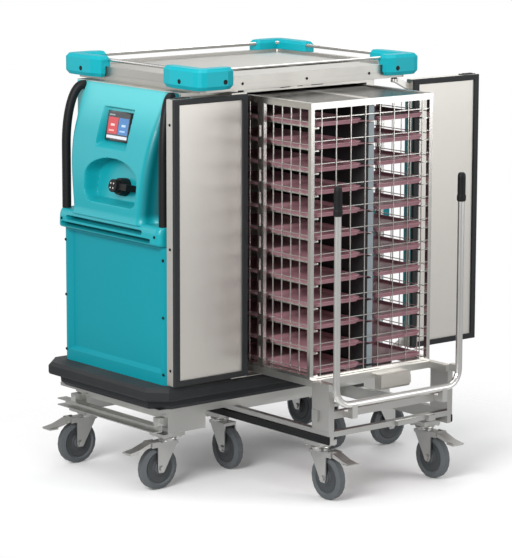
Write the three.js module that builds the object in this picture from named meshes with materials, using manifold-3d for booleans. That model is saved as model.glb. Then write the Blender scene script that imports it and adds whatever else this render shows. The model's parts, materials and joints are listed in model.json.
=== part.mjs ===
// Enclosed meal tray cart with its pull-out tray rack and docking trolley.
// Millimetres, +Z up.  X runs along the door side, -Y is the door side, Z = 0 is the floor.
// The cart is drawn with X = 0 on the end wall of its body and Y = 0 on its door face, and
// the whole assembly is moved at the end so that the origin is the middle of its footprint.
import * as THREE from 'three';
import { mergeVertices } from 'three/addons/utils/BufferGeometryUtils.js';
import Module from 'manifold-3d';

const wasm = await Module();
wasm.setup();

// ---------- driving sizes ----------
const fit = 0.3;                 // gap left between neighbouring pieces

const wheelDiameter = 160;
const wheelWidth = 38;
const castorHeight = 195;        // floor to the top of the swivel plate
const castorTrail = 46;
const castorPlate = 42;          // half the width of a castor's top plate
const axleDiameter = 12;

const bodyLength = 918;          // insulated body, without its end housings
const bodyDepth = 640;
const bodyBottom = 390;
const bodyTop = 1452;
const wall = 26;
const hatchInset = 60;           // border of the service hatch in the control end

const bumperStep = 50;           // height of the upper band of the base bumper
const bumperDepth = 88;
const bumperEndReach = 154;      // past the body at the control end
const bumperFarReach = 118;
const bumperSideReach = 48;
const bumperChamfer = 60;

const housingDepth = 72;         // lower end housing
const recessBorder = 30;
const recessDepth = 16;
const shoulderDepth = 100;
const shoulderBottom = 901;
const shoulderHeight = 71;
const shoulderCorner = 26;
const shoulderSlots = [[110, 60, 46], [60, 30, 18]];   // from the door side, from the back, up
const slotHeight = 9;
const slotDepth = 22;
const bowDiameter = 34;
const bowInset = 40;             // bow axis behind the front of the shoulder
const coverTop = 1438;
const coverFootDepth = 95;
const coverTopDepth = 4;
const coverBulge = 28;           // how far the face swells at mid height
const coverFootWidth = 412;
const coverTopWidth = 504;
const screenLevel = 0.717;       // share of the way up the leaning cover
const plugLevel = 0.292;

const roofHeight = 52;
const roofSideReach = 62;        // past the body on the door side and the back
const roofNearInset = 44;        // the roof starts this far in from the control end
const roofFarReach = 106;
const roofPanDepth = 10;
const roofRimWidth = 28;
const railDiameter = 13;
const railHeight = 24;           // rail axis above the roof
const cornerArmAlong = 125;      // length of a corner bumper along the roof
const cornerArmAcross = 190;
const cornerThickness = 40;
const cornerHeight = 78;

const doorWidth = 340;
const doorHeight = 1050;
const doorThickness = 38;
const doorGasket = 6;
const gasketWidth = 26;
const doorStandOff = 28;         // parked door to the body face
const doorClearance = 4;         // under the door
const hingePin = 12;
const hingeInset = 9;            // pin axis in from the edge of the door next to the machine
const crankLength = 72;          // pin axis out from the edge of the far door

const openingWidth = 610;
const openingHeight = 1014;
const chamberFloor = 30;         // floor thickness of the chamber
const runnerHeight = 13;
const runnerWidth = 20;
const runnerInset = 6;           // from the side of the rack
const backWall = 40;             // insulated wall behind the chamber

const levels = 12;
const levelPitch = 81.5;
const trayLength = 530;
const trayDepth = 272;
const trayHeight = 16;
const trayFloor = 4;
const trayCorner = 20;
const trayBridge = 70;           // low strip that the divider stands over

const rackWidth = 582;
const rackDepth = 567;
const rackHeight = 996;
const postWidth = 16;
const ladderWidth = 34;          // perforated uprights at mid depth
const wire = 3;
const wiresPerBay = 4;
const frontWires = 8;
const dividerThickness = 26;

const pullOut = 386;             // rack front in front of the door face
const deckDrop = 25;             // height of the deck side rails
const deckRail = 26;
const postReach = 94;            // depth of a gantry upright
const postThickness = 25;
const trolleyWidth = 600;
const trolleyBottom = 212;
const trolleyRailHeight = 50;
const trolleyRailWidth = 24;
const railSetback = 6;           // lower part of a rail, behind its buffer
const trolleyBack = 215;         // lower rails behind the door face, under the cart
const handleDiameter = 25;
const handleTop = 1152;
const gripLength = 106;
const gripDiameter = 34;
const handleRunHeight = 362;
const handleBend = 60;

// ---------- places that follow from the sizes ----------
const openingCentre = bodyLength - doorWidth - 3;
const openingLeft = openingCentre - openingWidth / 2;
const openingRight = openingCentre + openingWidth / 2;
const openingBottom = bodyBottom + chamberFloor;
const openingTop = openingBottom + openingHeight;
const bumperBottom = bodyBottom - bumperDepth;
const roofBottom = bodyTop + fit;
const roofTop = roofBottom + roofHeight;
const roofLeft = roofNearInset;
const roofRight = bodyLength + roofFarReach;
const roofFront = -roofSideReach;
const roofBack = bodyDepth + roofSideReach;
const centreY = bodyDepth / 2;
const shoulderTop = shoulderBottom + shoulderHeight;
const rackBottom = openingBottom + runnerHeight + fit;
const rackLeft = openingCentre - rackWidth / 2;
const rackRight = openingCentre + rackWidth / 2;
const rackFront = -pullOut;
const rackBack = rackFront + rackDepth;
const rackTop = rackBottom + rackHeight;
const deckTop = rackBottom - fit;
const deckBottom = deckTop - deckDrop;
const gantryBack = rackFront - 24;
const gantryFront = gantryBack - postReach;
const trolleyLeft = openingCentre - trolleyWidth / 2;
const trolleyRight = openingCentre + trolleyWidth / 2;
const doorInner = -(doorStandOff + doorThickness);
const doorBottom = bodyBottom + doorClearance;
const doorTop = doorBottom + doorHeight;
const pinY = (doorInner - doorGasket) / 2;      // so that the closed door seals on the body
const nearPinX = openingCentre - doorWidth + hingeInset;
const farPinX = openingCentre + doorWidth + crankLength;

// ---------- materials ----------
const paint = (color, roughness, metalness) =>
  new THREE.MeshStandardMaterial({ color, roughness, metalness });
const steel = paint(0xc9c9c4, 0.35, 0.9);
const brightSteel = paint(0xdedbd5, 0.25, 0.95);
const teal = paint(0x1fb3b8, 0.45, 0.0);
const brightTeal = paint(0x00c3cc, 0.4, 0.0);
const charcoal = paint(0x3a3b3e, 0.7, 0.0);
const black = paint(0x151516, 0.6, 0.0);
const rubberGrey = paint(0x8b8f92, 0.7, 0.0);
const sealGrey = paint(0x2e3030, 0.8, 0.0);
const pink = paint(0xb98a90, 0.5, 0.0);
const insulation = paint(0xd9d8d4, 0.5, 0.2);

// ---------- shape helpers ----------
function box(x0, x1, y0, y1, z0, z1) {
  const geometry = new THREE.BoxGeometry(x1 - x0, y1 - y0, z1 - z0);
  return geometry.translate((x0 + x1) / 2, (y0 + y1) / 2, (z0 + z1) / 2);
}

const shapeOf = (points) => new THREE.Shape(points.map(([u, v]) => new THREE.Vector2(u, v)));

// turns local X, Y, Z so that local Z lies along the named axis
function alongAxis(axis) {
  const turn = new THREE.Matrix4();
  const [x, y, z] = [new THREE.Vector3(1, 0, 0), new THREE.Vector3(0, 1, 0), new THREE.Vector3(0, 0, 1)];
  if (axis === 'x') turn.makeBasis(y, z, x);
  if (axis === 'y') turn.makeBasis(x, z, y.negate());
  return turn;
}

// a flat outline pulled along X (outline in Y, Z), along Y (X, Z) or along Z (X, Y)
function prism(axis, points, from, to, bevel = 0) {
  const options = { depth: to - from - 2 * bevel, bevelEnabled: bevel > 0, curveSegments: 6 };
  if (bevel > 0) {
    options.bevelSize = bevel;
    options.bevelThickness = bevel;
    options.bevelSegments = 2;
    options.bevelOffset = -bevel;
  }
  const geometry = new THREE.ExtrudeGeometry(shapeOf(points), options);
  if (axis === 'y') return geometry.applyMatrix4(alongAxis('y')).translate(0, to - bevel, 0);
  geometry.translate(0, 0, from + bevel);
  return axis === 'x' ? geometry.applyMatrix4(alongAxis('x')) : geometry;
}

// a round bar whose axis runs along X, Y or Z from one end to the other
function rod(axis, a, b, from, to, radius, sides = 16) {
  const geometry = new THREE.CylinderGeometry(radius, radius, to - from, sides);
  const middle = (from + to) / 2;
  if (axis === 'x') return geometry.rotateZ(Math.PI / 2).translate(middle, a, b);
  if (axis === 'y') return geometry.translate(a, middle, b);
  return geometry.rotateX(Math.PI / 2).translate(a, b, middle);
}

// rectangle with rounded corners, as outline points
function roundedRect(u0, u1, v0, v1, radius, steps = 3) {
  const points = [];
  const corners = [[u1 - radius, v1 - radius, 0], [u0 + radius, v1 - radius, 1],
    [u0 + radius, v0 + radius, 2], [u1 - radius, v0 + radius, 3]];
  for (const [u, v, quarter] of corners) {
    for (let i = 0; i <= steps; i += 1) {
      const angle = (quarter + i / steps) * Math.PI / 2;
      points.push([u + radius * Math.cos(angle), v + radius * Math.sin(angle)]);
    }
  }
  return points;
}

function toSolid(geometry) {
  const bare = geometry.clone();
  bare.deleteAttribute('normal');
  bare.deleteAttribute('uv');
  const merged = mergeVertices(bare, 1e-4);
  return new wasm.Manifold(new wasm.Mesh({
    numProp: 3,
    vertProperties: new Float32Array(merged.attributes.position.array),
    triVerts: new Uint32Array(merged.index.array),
  }));
}

function toGeometry(manifold) {
  const mesh = manifold.getMesh();
  const geometry = new THREE.BufferGeometry();
  geometry.setAttribute('position', new THREE.BufferAttribute(new Float32Array(mesh.vertProperties), 3));
  geometry.setIndex(new THREE.BufferAttribute(new Uint32Array(mesh.triVerts), 1));
  return geometry;
}

const joined = (...parts) => toGeometry(parts.map(toSolid).reduce((sum, part) => sum.add(part)));

function cutBy(base, ...tools) {
  return toGeometry(tools.map(toSolid).reduce((rest, tool) => rest.subtract(tool), toSolid(base)));
}

const common = (a, b) => toGeometry(toSolid(a).intersect(toSolid(b)));

// the path of a bent tube: straight runs with an arc of one radius at each corner
class BentPath extends THREE.Curve {
  constructor(corners, radius, arcSteps = 4) {
    super();
    const points = corners.map((corner) => new THREE.Vector3(...corner));
    this.stations = [points[0]];
    for (let i = 1; i < points.length - 1; i += 1) {
      const before = points[i].clone().sub(points[i - 1]).normalize();
      const after = points[i + 1].clone().sub(points[i]).normalize();
      const turn = before.angleTo(after);
      const start = points[i].clone().addScaledVector(before, -radius * Math.tan(turn / 2));
      const inward = after.clone().sub(before).normalize();
      const centre = points[i].clone().addScaledVector(inward, radius / Math.cos(turn / 2));
      const axis = before.clone().cross(after).normalize();
      for (let k = 0; k <= arcSteps; k += 1) {
        const arm = start.clone().sub(centre).applyAxisAngle(axis, turn * k / arcSteps);
        this.stations.push(arm.add(centre));
      }
    }
    this.stations.push(points[points.length - 1]);
  }

  getPointAt(u, target = new THREE.Vector3()) {
    return target.copy(this.stations[Math.round(u * (this.stations.length - 1))]);
  }

  getTangentAt(u, target = new THREE.Vector3()) {
    const last = this.stations.length - 1;
    const i = Math.round(u * last);
    const before = this.stations[Math.max(i - 1, 0)];
    const after = this.stations[Math.min(i + 1, last)];
    return target.copy(after).sub(before).normalize();
  }
}

function tube(corners, bendRadius, radius, sides = 10, arcSteps = 4) {
  const path = new BentPath(corners, bendRadius, arcSteps);
  const ring = [];
  for (let i = 0; i < sides; i += 1) {
    const angle = 2 * Math.PI * i / sides;
    ring.push([radius * Math.cos(angle), radius * Math.sin(angle)]);
  }
  return new THREE.ExtrudeGeometry(shapeOf(ring), {
    extrudePath: path, steps: path.stations.length - 1, bevelEnabled: false,
  });
}

// skin through a stack of outlines with equal point counts, closed at both ends; an outline
// runs counter-clockwise as seen against the stacking direction
function loft(rings, axis = 'z', closed = false) {
  const count = rings[0].length;
  const positions = rings.flat(2);
  const index = [];
  for (let r = 0; r < rings.length - (closed ? 0 : 1); r += 1) {
    const up = (r + 1) % rings.length * count;
    for (let i = 0; i < count; i += 1) {
      const next = (i + 1) % count;
      const [a, b, c, d] = [r * count + i, r * count + next, up + next, up + i];
      index.push(a, b, c, a, c, d);
    }
  }
  const flat = (ring) => THREE.ShapeUtils.triangulateShape(ring.map(([x, y]) => new THREE.Vector2(x, y)), []);
  const last = (rings.length - 1) * count;
  if (!closed) {
    for (const [a, b, c] of flat(rings[0])) index.push(a, c, b);
    for (const [a, b, c] of flat(rings[rings.length - 1])) index.push(last + a, last + b, last + c);
  }
  const geometry = new THREE.BufferGeometry();
  geometry.setAttribute('position', new THREE.Float32BufferAttribute(positions, 3));
  geometry.setIndex(index);
  return geometry.applyMatrix4(alongAxis(axis));
}

const assembly = new THREE.Group();

function add(name, geometry, material) {
  const mesh = new THREE.Mesh(geometry, material);
  mesh.name = name;
  assembly.add(mesh);
  return mesh;
}

// ---------- cart: base and body ----------
function baseBumper() {
  const outline = (grow) => {
    const [x0, x1] = [-bumperEndReach - grow, bodyLength + bumperFarReach + grow];
    const [y0, y1] = [-bumperSideReach - grow, bodyDepth + bumperSideReach + grow];
    const c = bumperChamfer;
    return [[x0 + c, y0], [x1 - c, y0], [x1, y0 + c], [x1, y1 - c],
      [x1 - c, y1], [x0 + c, y1], [x0, y1 - c], [x0, y0 + c]];
  };
  const ring = (grow, z) => outline(grow).map(([x, y]) => [x, y, z]);
  return loft([
    ring(-46, bumperBottom), ring(-34, bumperBottom + 14), ring(-32, bodyBottom - bumperStep),
    ring(-3, bodyBottom - bumperStep + 3), ring(0, bodyBottom - bumperStep + 10),
    ring(0, bodyBottom - 14), ring(-8, bodyBottom - fit),
  ]);
}

const subframeTop = bumperBottom - fit;
const trolleyRailTop = trolleyBottom + trolleyRailHeight;
const castorX = [-29, bodyLength + 85];
const castorY = [50, 560];

function subframe() {
  const pieces = [];
  const beamBottom = trolleyRailTop + 8;
  const plateTop = castorHeight + 13;
  const [nearX, farX] = castorX;
  for (const y of castorY) {
    pieces.push(box(nearX - 30, farX + 30, y - 36, y + 24, beamBottom, subframeTop));
    pieces.push(box(nearX - 24, nearX + 150, y - 36, y + 24, plateTop - 1, beamBottom + 1));
    pieces.push(box(farX - 110, farX + 24, y - 36, y + 24, plateTop - 1, beamBottom + 1));
  }
  for (const x of castorX) {
    pieces.push(box(x - 20, x + 20, castorY[0], castorY[1], beamBottom - 12, subframeTop - 2));
    for (const y of castorY) {
      pieces.push(box(x - 50, x + 50, y - castorPlate, y + castorPlate, castorHeight, plateTop));
    }
  }
  const railX = nearX - 86;
  const railZero = castorHeight + 22;
  const section = [[0, 0], [40, 0], [40, 28], [0, 28], [0, 24], [36, 24], [36, 4], [0, 4]];
  const endRail = prism('y', section.map(([x, z]) => [railX + x, railZero + z]), 20, bodyDepth - 14);
  const tie = (y) => box(railX + 30, nearX - 10, y, y + 30, railZero + 18, railZero + 50);
  const strip = box(nearX - 62, nearX - 25, 14, bodyDepth, subframeTop - 14, subframeTop - 0.2);
  pieces.push(endRail, tie(castorY[0] - 20), tie(castorY[1] - 10), strip);
  return joined(...pieces);
}

function bodyShell() {
  const hull = box(0, bodyLength, 0, bodyDepth, bodyBottom, bodyTop);
  const chamber = box(openingLeft, openingRight, -1, bodyDepth - backWall, bodyBottom - 1, openingTop);
  const machine = box(wall, openingLeft - wall, wall, bodyDepth - wall, openingBottom, openingTop);
  const hatch = box(-1, wall + 1, hatchInset, bodyDepth - hatchInset, openingBottom, shoulderBottom - wall);
  const duct = rod('x', centreY, fanHeight, openingLeft - wall - 1, openingLeft + 1, fanDuct / 2, 24);
  return cutBy(hull, chamber, machine, hatch, duct);
}

// ---------- cart: moulded end housings ----------
const coverTilt = Math.atan((coverFootDepth - coverTopDepth) / (coverTop - shoulderTop));

function lowerHousing(recess) {
  const outline = roundedRect(-housingDepth, housingDepth, 0.5, bodyDepth - 0.5, 24);
  const block = prism('z', outline, bodyBottom + fit, shoulderBottom - fit);
  const front = common(block, box(-housingDepth - 1, -fit, -1, bodyDepth + 1, 0, bodyTop));
  if (!recess) return front;
  const low = bodyBottom + recessBorder + 12;
  const high = shoulderBottom - 12;
  const ring = (inset, x) => {
    const [y0, y1] = [recessBorder + inset, bodyDepth - recessBorder - inset];
    return [[y0, low + inset, x], [y1, low + inset, x], [y1, high, x], [y0, high, x]];
  };
  const panel = loft([ring(-1, -housingDepth - 1), ring(14, -housingDepth + recessDepth)], 'x');
  return cutBy(front, panel);
}

const coverDepth = (t) =>
  THREE.MathUtils.lerp(coverFootDepth, coverTopDepth, t) + coverBulge * Math.sin(Math.PI * t);

// one level of the leaning upper cover: t runs from 0 at the shoulder to 1 at the roof
function coverRing(t, z) {
  const depth = coverDepth(t);
  const half = THREE.MathUtils.lerp(coverFootWidth, coverTopWidth, t) / 2;
  const back = THREE.MathUtils.lerp(half + 84 * (1 - t), half + 3, t);
  const radius = Math.min(34, depth * 0.6);
  const side = [[-fit, back], [-fit - depth * 0.22, half + (back - half) * 0.45],
    [-fit - depth * 0.5, half + (back - half) * 0.12]];
  const points = [];
  for (const [x, y] of side) points.push([x, centreY + y, z]);
  for (let i = 0; i <= 4; i += 1) {
    const angle = i / 4 * Math.PI / 2;
    const [x, y] = [radius - radius * Math.sin(angle), radius * Math.cos(angle) - radius];
    points.push([-depth + x, centreY + half + y, z]);
  }
  const mirrored = points.map(([x, y]) => [x, 2 * centreY - y, z]).reverse();
  return points.concat(mirrored);
}

function shoulder(withSlots) {
  const front = -shoulderDepth;
  const section = [[-fit, shoulderBottom], [front + 10, shoulderBottom], [front, shoulderBottom + 8],
    [front + 3, shoulderTop - 18], [front + 16, shoulderTop], [-fit, shoulderTop]];
  const bar = prism('y', section, 0.5, bodyDepth - 0.5);
  const outline = roundedRect(front - 1, shoulderDepth, 0.5, bodyDepth - 0.5, shoulderCorner);
  const plan = prism('z', outline, shoulderBottom - 1, shoulderTop + 1);
  const body = common(bar, plan);
  if (!withSlots) return body;
  const slots = shoulderSlots.map(([near, far, rise]) =>
    prism('x', roundedRect(near, bodyDepth - far, shoulderBottom + rise, shoulderBottom + rise + slotHeight, 4, 2),
      front - 1, front + slotDepth));
  return cutBy(body, ...slots);
}

function upperCover(withPockets) {
  const rings = [];
  for (let i = 0; i <= 6; i += 1) {
    const z = THREE.MathUtils.lerp(shoulderTop - 1, coverTop, i / 6);
    rings.push(coverRing(i / 6, z));
  }
  const cover = joined(shoulder(withPockets), loft(rings));
  if (!withPockets) return cover;
  return cutBy(cover, screenPocket(12), plugPocket());
}

// a cutter or plate that lies along the leaning face, centred on height z
const faceX = (z) => -coverDepth((z - shoulderTop) / (coverTop - shoulderTop));

function onFace(points, z, inside, outside) {
  const slab = prism('x', points, -outside, inside);
  return slab.rotateY(coverTilt).translate(faceX(z), centreY + screenShift, z);
}

const levelOf = (share) => shoulderTop + share * (coverTop - shoulderTop);
const screenHeight = levelOf(screenLevel);
const screenShift = 10;          // both recesses sit a little towards the back of the cart
const plugHeight = levelOf(plugLevel);
const plugDepth = 58;
const inletOffset = [-42, -14];  // inlet axis from the middle of its recess
const screenPocket = (depth) =>
  onFace([[-98, -66], [90, -66], [80, 66], [-90, 66]], screenHeight, depth, 30);

function plugPocket() {
  const outline = [[-122, -62], [104, -70], [122, -50], [128, 0]];
  for (let i = 0; i <= 8; i += 1) {
    const angle = i / 8 * Math.PI;
    outline.push([122 * Math.cos(angle), 6 + 74 * Math.sin(angle)]);
  }
  outline.push([-128, -40]);
  return onFace(outline, plugHeight, plugDepth, 60);
}

const touchScreen = () => onFace([[-76, -56], [72, -56], [72, 56], [-76, 56]], screenHeight, 12 - fit, -4);

function powerSocket() {
  const seat = plugDepth - fit;
  const body = new THREE.CylinderGeometry(31, 34, 34, 20).rotateZ(Math.PI / 2).translate(seat - 17, 0, 0);
  const collar = new THREE.CylinderGeometry(24, 24, 30, 20).rotateZ(Math.PI / 2).translate(seat - 46, 0, 0);
  const lug = box(seat - 52, seat - 8, -72, -20, -12, 12);
  const whole = joined(body, collar, lug);
  const [y, z] = inletOffset;
  return whole.translate(0, y, z).rotateY(coverTilt)
    .translate(faceX(plugHeight), centreY + screenShift, plugHeight);
}

function pushBow(side) {
  const y = (inset) => centreY + side * (centreY - inset);
  const top = coverTop - 16;
  const foot = -shoulderDepth + bowInset;
  const path = [[foot, y(20), shoulderTop + fit], [foot, y(20), shoulderTop + 60],
    [foot - 14, y(20), shoulderTop + 210], [foot + 6, y(24), top - 92],
    [-36, y(30), top], [-fit, y(30), top]];
  return tube(path, 34, bowDiameter / 2, 12, 4);
}

// the far end carries the same mouldings, turned half round
function farHousing() {
  const whole = joined(lowerHousing(false), upperCover(false),
    box(-housingDepth + 30, -fit, 40, bodyDepth - 40, shoulderBottom - 2, shoulderBottom + 2));
  return whole.rotateZ(Math.PI).translate(bodyLength, bodyDepth, 0);
}

// ---------- cart: machinery inside the compartment ----------
const fanDuct = 180;
const fanShaft = 10;
const fanHub = 52;
const condenserHeight = 250;
const fanHeight = 925;
const fanX = openingLeft - wall / 2;

function coolingUnit() {
  const floor = openingBottom + fit;
  const [x0, x1] = [wall, openingLeft - wall - 12];
  const radius = (x1 - x0) * 0.38;
  const compressor = new THREE.SphereGeometry(radius, 20, 10).scale(1, 1, 1.25);
  const pieces = [
    box(x0, x1, 60, bodyDepth - 60, floor, floor + 10),
    compressor.translate(x0 + radius + 12, 92 + radius, floor + 8 + 1.24 * radius),
    box(x0 + 10, x1 - 10, centreY + 10, bodyDepth - 80, floor + 8, floor + condenserHeight),
    box(x0 + 20, x0 + 50, centreY - 40, centreY + 40, floor + 8, fanHeight + 60),
    rod('x', centreY, fanHeight, x0 + 40, fanX - 22, 34, 16),
    rod('x', centreY, fanHeight, fanX - 24, fanX + 8, fanShaft / 2, 12),
  ];
  return joined(...pieces);
}

function fanRotor() {
  const hub = cutBy(rod('x', centreY, fanHeight, fanX - 12, fanX + 6, fanHub / 2, 20),
    rod('x', centreY, fanHeight, fanX - 13, fanX + 7, fanShaft / 2 + fit, 12));
  const [root, tip] = [fanHub / 2 - 4, fanDuct / 2 - 8];
  const blades = [];
  for (let i = 0; i < 6; i += 1) {
    const blade = new THREE.BoxGeometry(3, fanHub / 2, tip - root).rotateZ(0.5);
    blade.translate(0, 0, (tip + root) / 2).rotateX(i * Math.PI / 3);
    blades.push(blade.translate(fanX - 3, centreY, fanHeight));
  }
  return joined(hub, ...blades);
}

// ---------- cart: roof ----------
function roofPan() {
  const outer = prism('z', roundedRect(roofLeft, roofRight, roofFront, roofBack, 22), roofBottom, roofTop);
  const r = roofRimWidth;
  const pan = prism('z', roundedRect(roofLeft + r, roofRight - r, roofFront + r, roofBack - r, 12),
    roofTop - roofPanDepth, roofTop + 1);
  const groove = (z) => cutBy(
    box(roofLeft - 5, roofRight + 5, roofFront - 5, roofBack + 5, z, z + 2),
    box(roofLeft + 1.5, roofRight - 1.5, roofFront + 1.5, roofBack - 1.5, z - 1, z + 3));
  return cutBy(outer, pan, groove(roofBottom + 22));
}

const railInset = 10;
const railZ = roofTop + railHeight;

// one closed bow that passes through all four corner bumpers
function galleryRail(radius = railDiameter / 2) {
  const outline = (grow) => roundedRect(roofLeft + railInset - grow, roofRight - railInset + grow,
    roofFront + railInset - grow, roofBack - railInset + grow, 40 + grow, 4);
  const rings = [];
  const sides = 8;
  for (let i = 0; i < sides; i += 1) {
    const angle = 2 * Math.PI * i / sides;
    rings.push(outline(radius * Math.cos(angle)).map(([x, y]) => [x, y, railZ + radius * Math.sin(angle)]));
  }
  return loft(rings, 'z', true);
}

// corner bumper, drawn for the corner at the origin with arms along +X and +Y
function cornerBumper(armX, armY) {
  const t = cornerThickness;
  const bottom = roofTop - cornerHeight + 38;
  const plan = (shorter, out, inside, tip) => {
    const [ax, ay] = [armX - shorter, armY - shorter];
    return [[-out, ay * 0.72], [-out + tip, ay], [inside - 6, ay], [inside, ay - 14],
      [inside, inside], [ax - 14, inside], [ax, inside - 6], [ax, -out + tip], [ax * 0.72, -out],
      [34 - out, -out], [14 - out, 6 - out], [4 - out, 16 - out], [-out, 36 - out]];
  };
  const ring = (points, z) => points.map(([x, y]) => [x, y, z]).reverse();
  const skirt = loft([ring(plan(10, t - 9, -fit, 12), bottom), ring(plan(0, t, -fit, 14), bottom + 14),
    ring(plan(0, t, -fit, 14), roofTop + fit + 1)]);
  const cap = loft([ring(plan(0, t, 22, 14), roofTop + fit), ring(plan(0, t, 22, 14), roofTop + 26),
    ring(plan(8, t - 9, 14, 14), roofTop + 38)]);
  return joined(skirt, cap);
}

// stands a bumper on a roof corner, clear of the body, with a channel for the gallery rail
function placeCorner(quarter, x, y) {
  const arms = quarter % 2 ? [cornerArmAcross, cornerArmAlong] : [cornerArmAlong, cornerArmAcross];
  const bumper = cornerBumper(...arms).rotateZ(quarter * Math.PI / 2).translate(x, y, 0);
  const body = box(-fit, bodyLength + fit, -fit, bodyDepth + fit, bodyBottom, roofBottom);
  return cutBy(bumper, galleryRail(railDiameter / 2 + fit), body);
}

// ---------- cart: doors ----------
// Both doors are drawn parked: turned back 180 degrees, inner face towards -Y.
const nearDoor = [nearPinX + hingeInset - doorWidth, nearPinX + hingeInset];
const farDoor = [farPinX + crankLength, farPinX + crankLength + doorWidth];
const fittingHeight = 5;
const pinDepth = 14;
const eyeHeight = 12;
const eyeRadius = 13;
const crankHeight = 26;
const crankDrop = 48;            // from the door's end to where a crank meets it

function doorLeaf([x0, x1]) {
  const skin = 3;
  const outline = roundedRect(x0, x1, doorBottom + fittingHeight, doorTop - fittingHeight, 4, 2);
  const slab = prism('y', outline, doorInner + skin, -doorStandOff);
  const e = gasketWidth;
  const inner = box(x0 + e, x1 - e, doorInner, doorInner + skin + 1, doorBottom + e, doorTop - e);
  return joined(slab, inner);
}

function doorSeal([x0, x1]) {
  const face = doorInner + 3 - fit;
  const ring = (inset, y) => {
    const [z0, z1] = [doorBottom + fittingHeight + inset, doorTop - fittingHeight - inset];
    return [[x0 + inset, z0, -y], [x1 - inset, z0, -y], [x1 - inset, z1, -y], [x0 + inset, z1, -y]];
  };
  const outer = loft([ring(0, face), ring(0, face - 5), ring(4, doorInner - doorGasket)], 'y');
  const w = gasketWidth - fittingHeight - fit;
  const inside = box(x0 + gasketWidth - fit, x1 - gasketWidth + fit, doorInner - doorGasket - 1, 0,
    doorBottom + fittingHeight + w, doorTop - fittingHeight - w);
  return cutBy(outer, inside);
}

// the near door turns on ears at its top and bottom edge
function nearDoorLeaf() {
  const plate = (z0, z1) => box(nearPinX - 60, nearPinX + hingeInset, doorInner + 6, -doorStandOff, z0, z1);
  const leaf = joined(doorLeaf(nearDoor), plate(doorBottom, doorBottom + fittingHeight + 1),
    plate(doorTop - fittingHeight - 1, doorTop));
  const hole = (z0, z1) => rod('z', nearPinX, pinY, z0, z1, hingePin / 2 + fit, 16);
  const depth = pinDepth + 2;
  return cutBy(leaf, hole(doorBottom - 1, doorBottom + depth), hole(doorTop - depth, doorTop + 1));
}

// long cranks carry the far door clear of the end of the body
function farCranks() {
  const [y0, y1] = [pinY - 9, pinY + 9];
  const drop = crankDrop;
  const crank = (zPin, zDoor) => {
    const s = Math.sign(zDoor - zPin);
    const edge = farDoor[0] - fit;
    const side = [[farPinX, zPin], [farPinX + 20, zPin], [edge, zDoor - s * crankHeight], [edge, zDoor],
      [farPinX, zPin + s * eyeHeight]];
    const bar = prism('y', s > 0 ? side : side.reverse(), y0, y1);
    const [low, high] = s > 0 ? [zPin, zPin + eyeHeight] : [zPin - eyeHeight, zPin];
    const eye = rod('z', farPinX, pinY, low, high, eyeRadius, 16);
    return cutBy(joined(bar, eye), rod('z', farPinX, pinY, zPin - 20, zPin + 20, hingePin / 2 + fit, 16));
  };
  const strap = box(farDoor[0] - 6, farDoor[0] - fit, y0, y1, doorBottom + drop - 1, doorTop - drop + 1);
  return joined(crank(doorTop, doorTop - drop), crank(doorBottom, doorBottom + drop), strap);
}

// spring catch on the free edge of a door
function doorCatch([x0, x1], side) {
  const free = side < 0 ? x0 + 44 : x1 - 44;
  const y = doorInner + 18;
  const seat = doorTop - fittingHeight + fit;
  const tail = free - side * 34;
  return joined(
    box(free - 22, free + 22, y - 7, y + 7, seat, doorTop),
    box(tail - 8, tail + 8, y - 5, y + 5, seat, doorTop - 1),
    box(free - 40, free + 40, y - 4, y + 4, seat, seat + 1.6));
}

const pinSites = [nearPinX, farPinX];
const sillThickness = 2;

// strip under the roof edge with the upper hinge pins and the keepers of the catches
function doorHeader() {
  const high = roofBottom - fit;
  const keeper = (x, width) => joined(
    box(x, x + width, -30, -4, roofBottom - 5, high),
    box(x + 6, x + width - 6, -26, -22, doorTop + fit, roofBottom - 4));
  const pins = pinSites.map((x) => joined(rod('z', x, pinY, doorTop - pinDepth, high, hingePin / 2, 16),
    rod('z', x, pinY, doorTop + fit, high, 11, 16)));
  return joined(box(nearPinX - 16, farPinX + 16, pinY - 12, -fit, high - sillThickness, high), ...pins,
    keeper(openingCentre - 140, 56), keeper(openingCentre - 58, 34), keeper(openingCentre + 8, 66));
}

// floor of the chamber with the runners of the rack, turned out into the sill with the lower hinge pins
function floorPan() {
  const low = bodyBottom;
  const back = bodyDepth - backWall - fit;
  const pins = pinSites.map((x) => joined(rod('z', x, pinY, low, doorBottom + pinDepth, hingePin / 2, 16),
    rod('z', x, pinY, low, doorBottom - fit, 11, 16)));
  const slab = box(openingLeft + fit, openingRight - fit, -fit, back, low, openingBottom);
  const sill = box(nearPinX - 16, farPinX + 16, pinY - 12, -fit, low, low + sillThickness);
  const lip = box(openingLeft + fit, openingRight - fit, -1, 1, low, low + sillThickness);
  const runner = (x) => box(x, x + runnerWidth, 4, back - 1, openingBottom - 1, openingBottom + runnerHeight);
  return joined(slab, sill, lip, ...pins,
    runner(rackLeft + runnerInset), runner(rackRight - runnerInset - runnerWidth));
}

// ---------- castors ----------
// Drawn with the swivel axis at X = Y = 0, the floor at Z = 0 and the wheel trailing towards +X.
const wheelRadius = wheelDiameter / 2;
const crownBottom = 165;
const crownTop = 177;
const cheek = [22, 28];          // inner and outer face of a fork cheek
const pedalPivot = [78, 172];
const pedalReach = 184;

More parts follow.
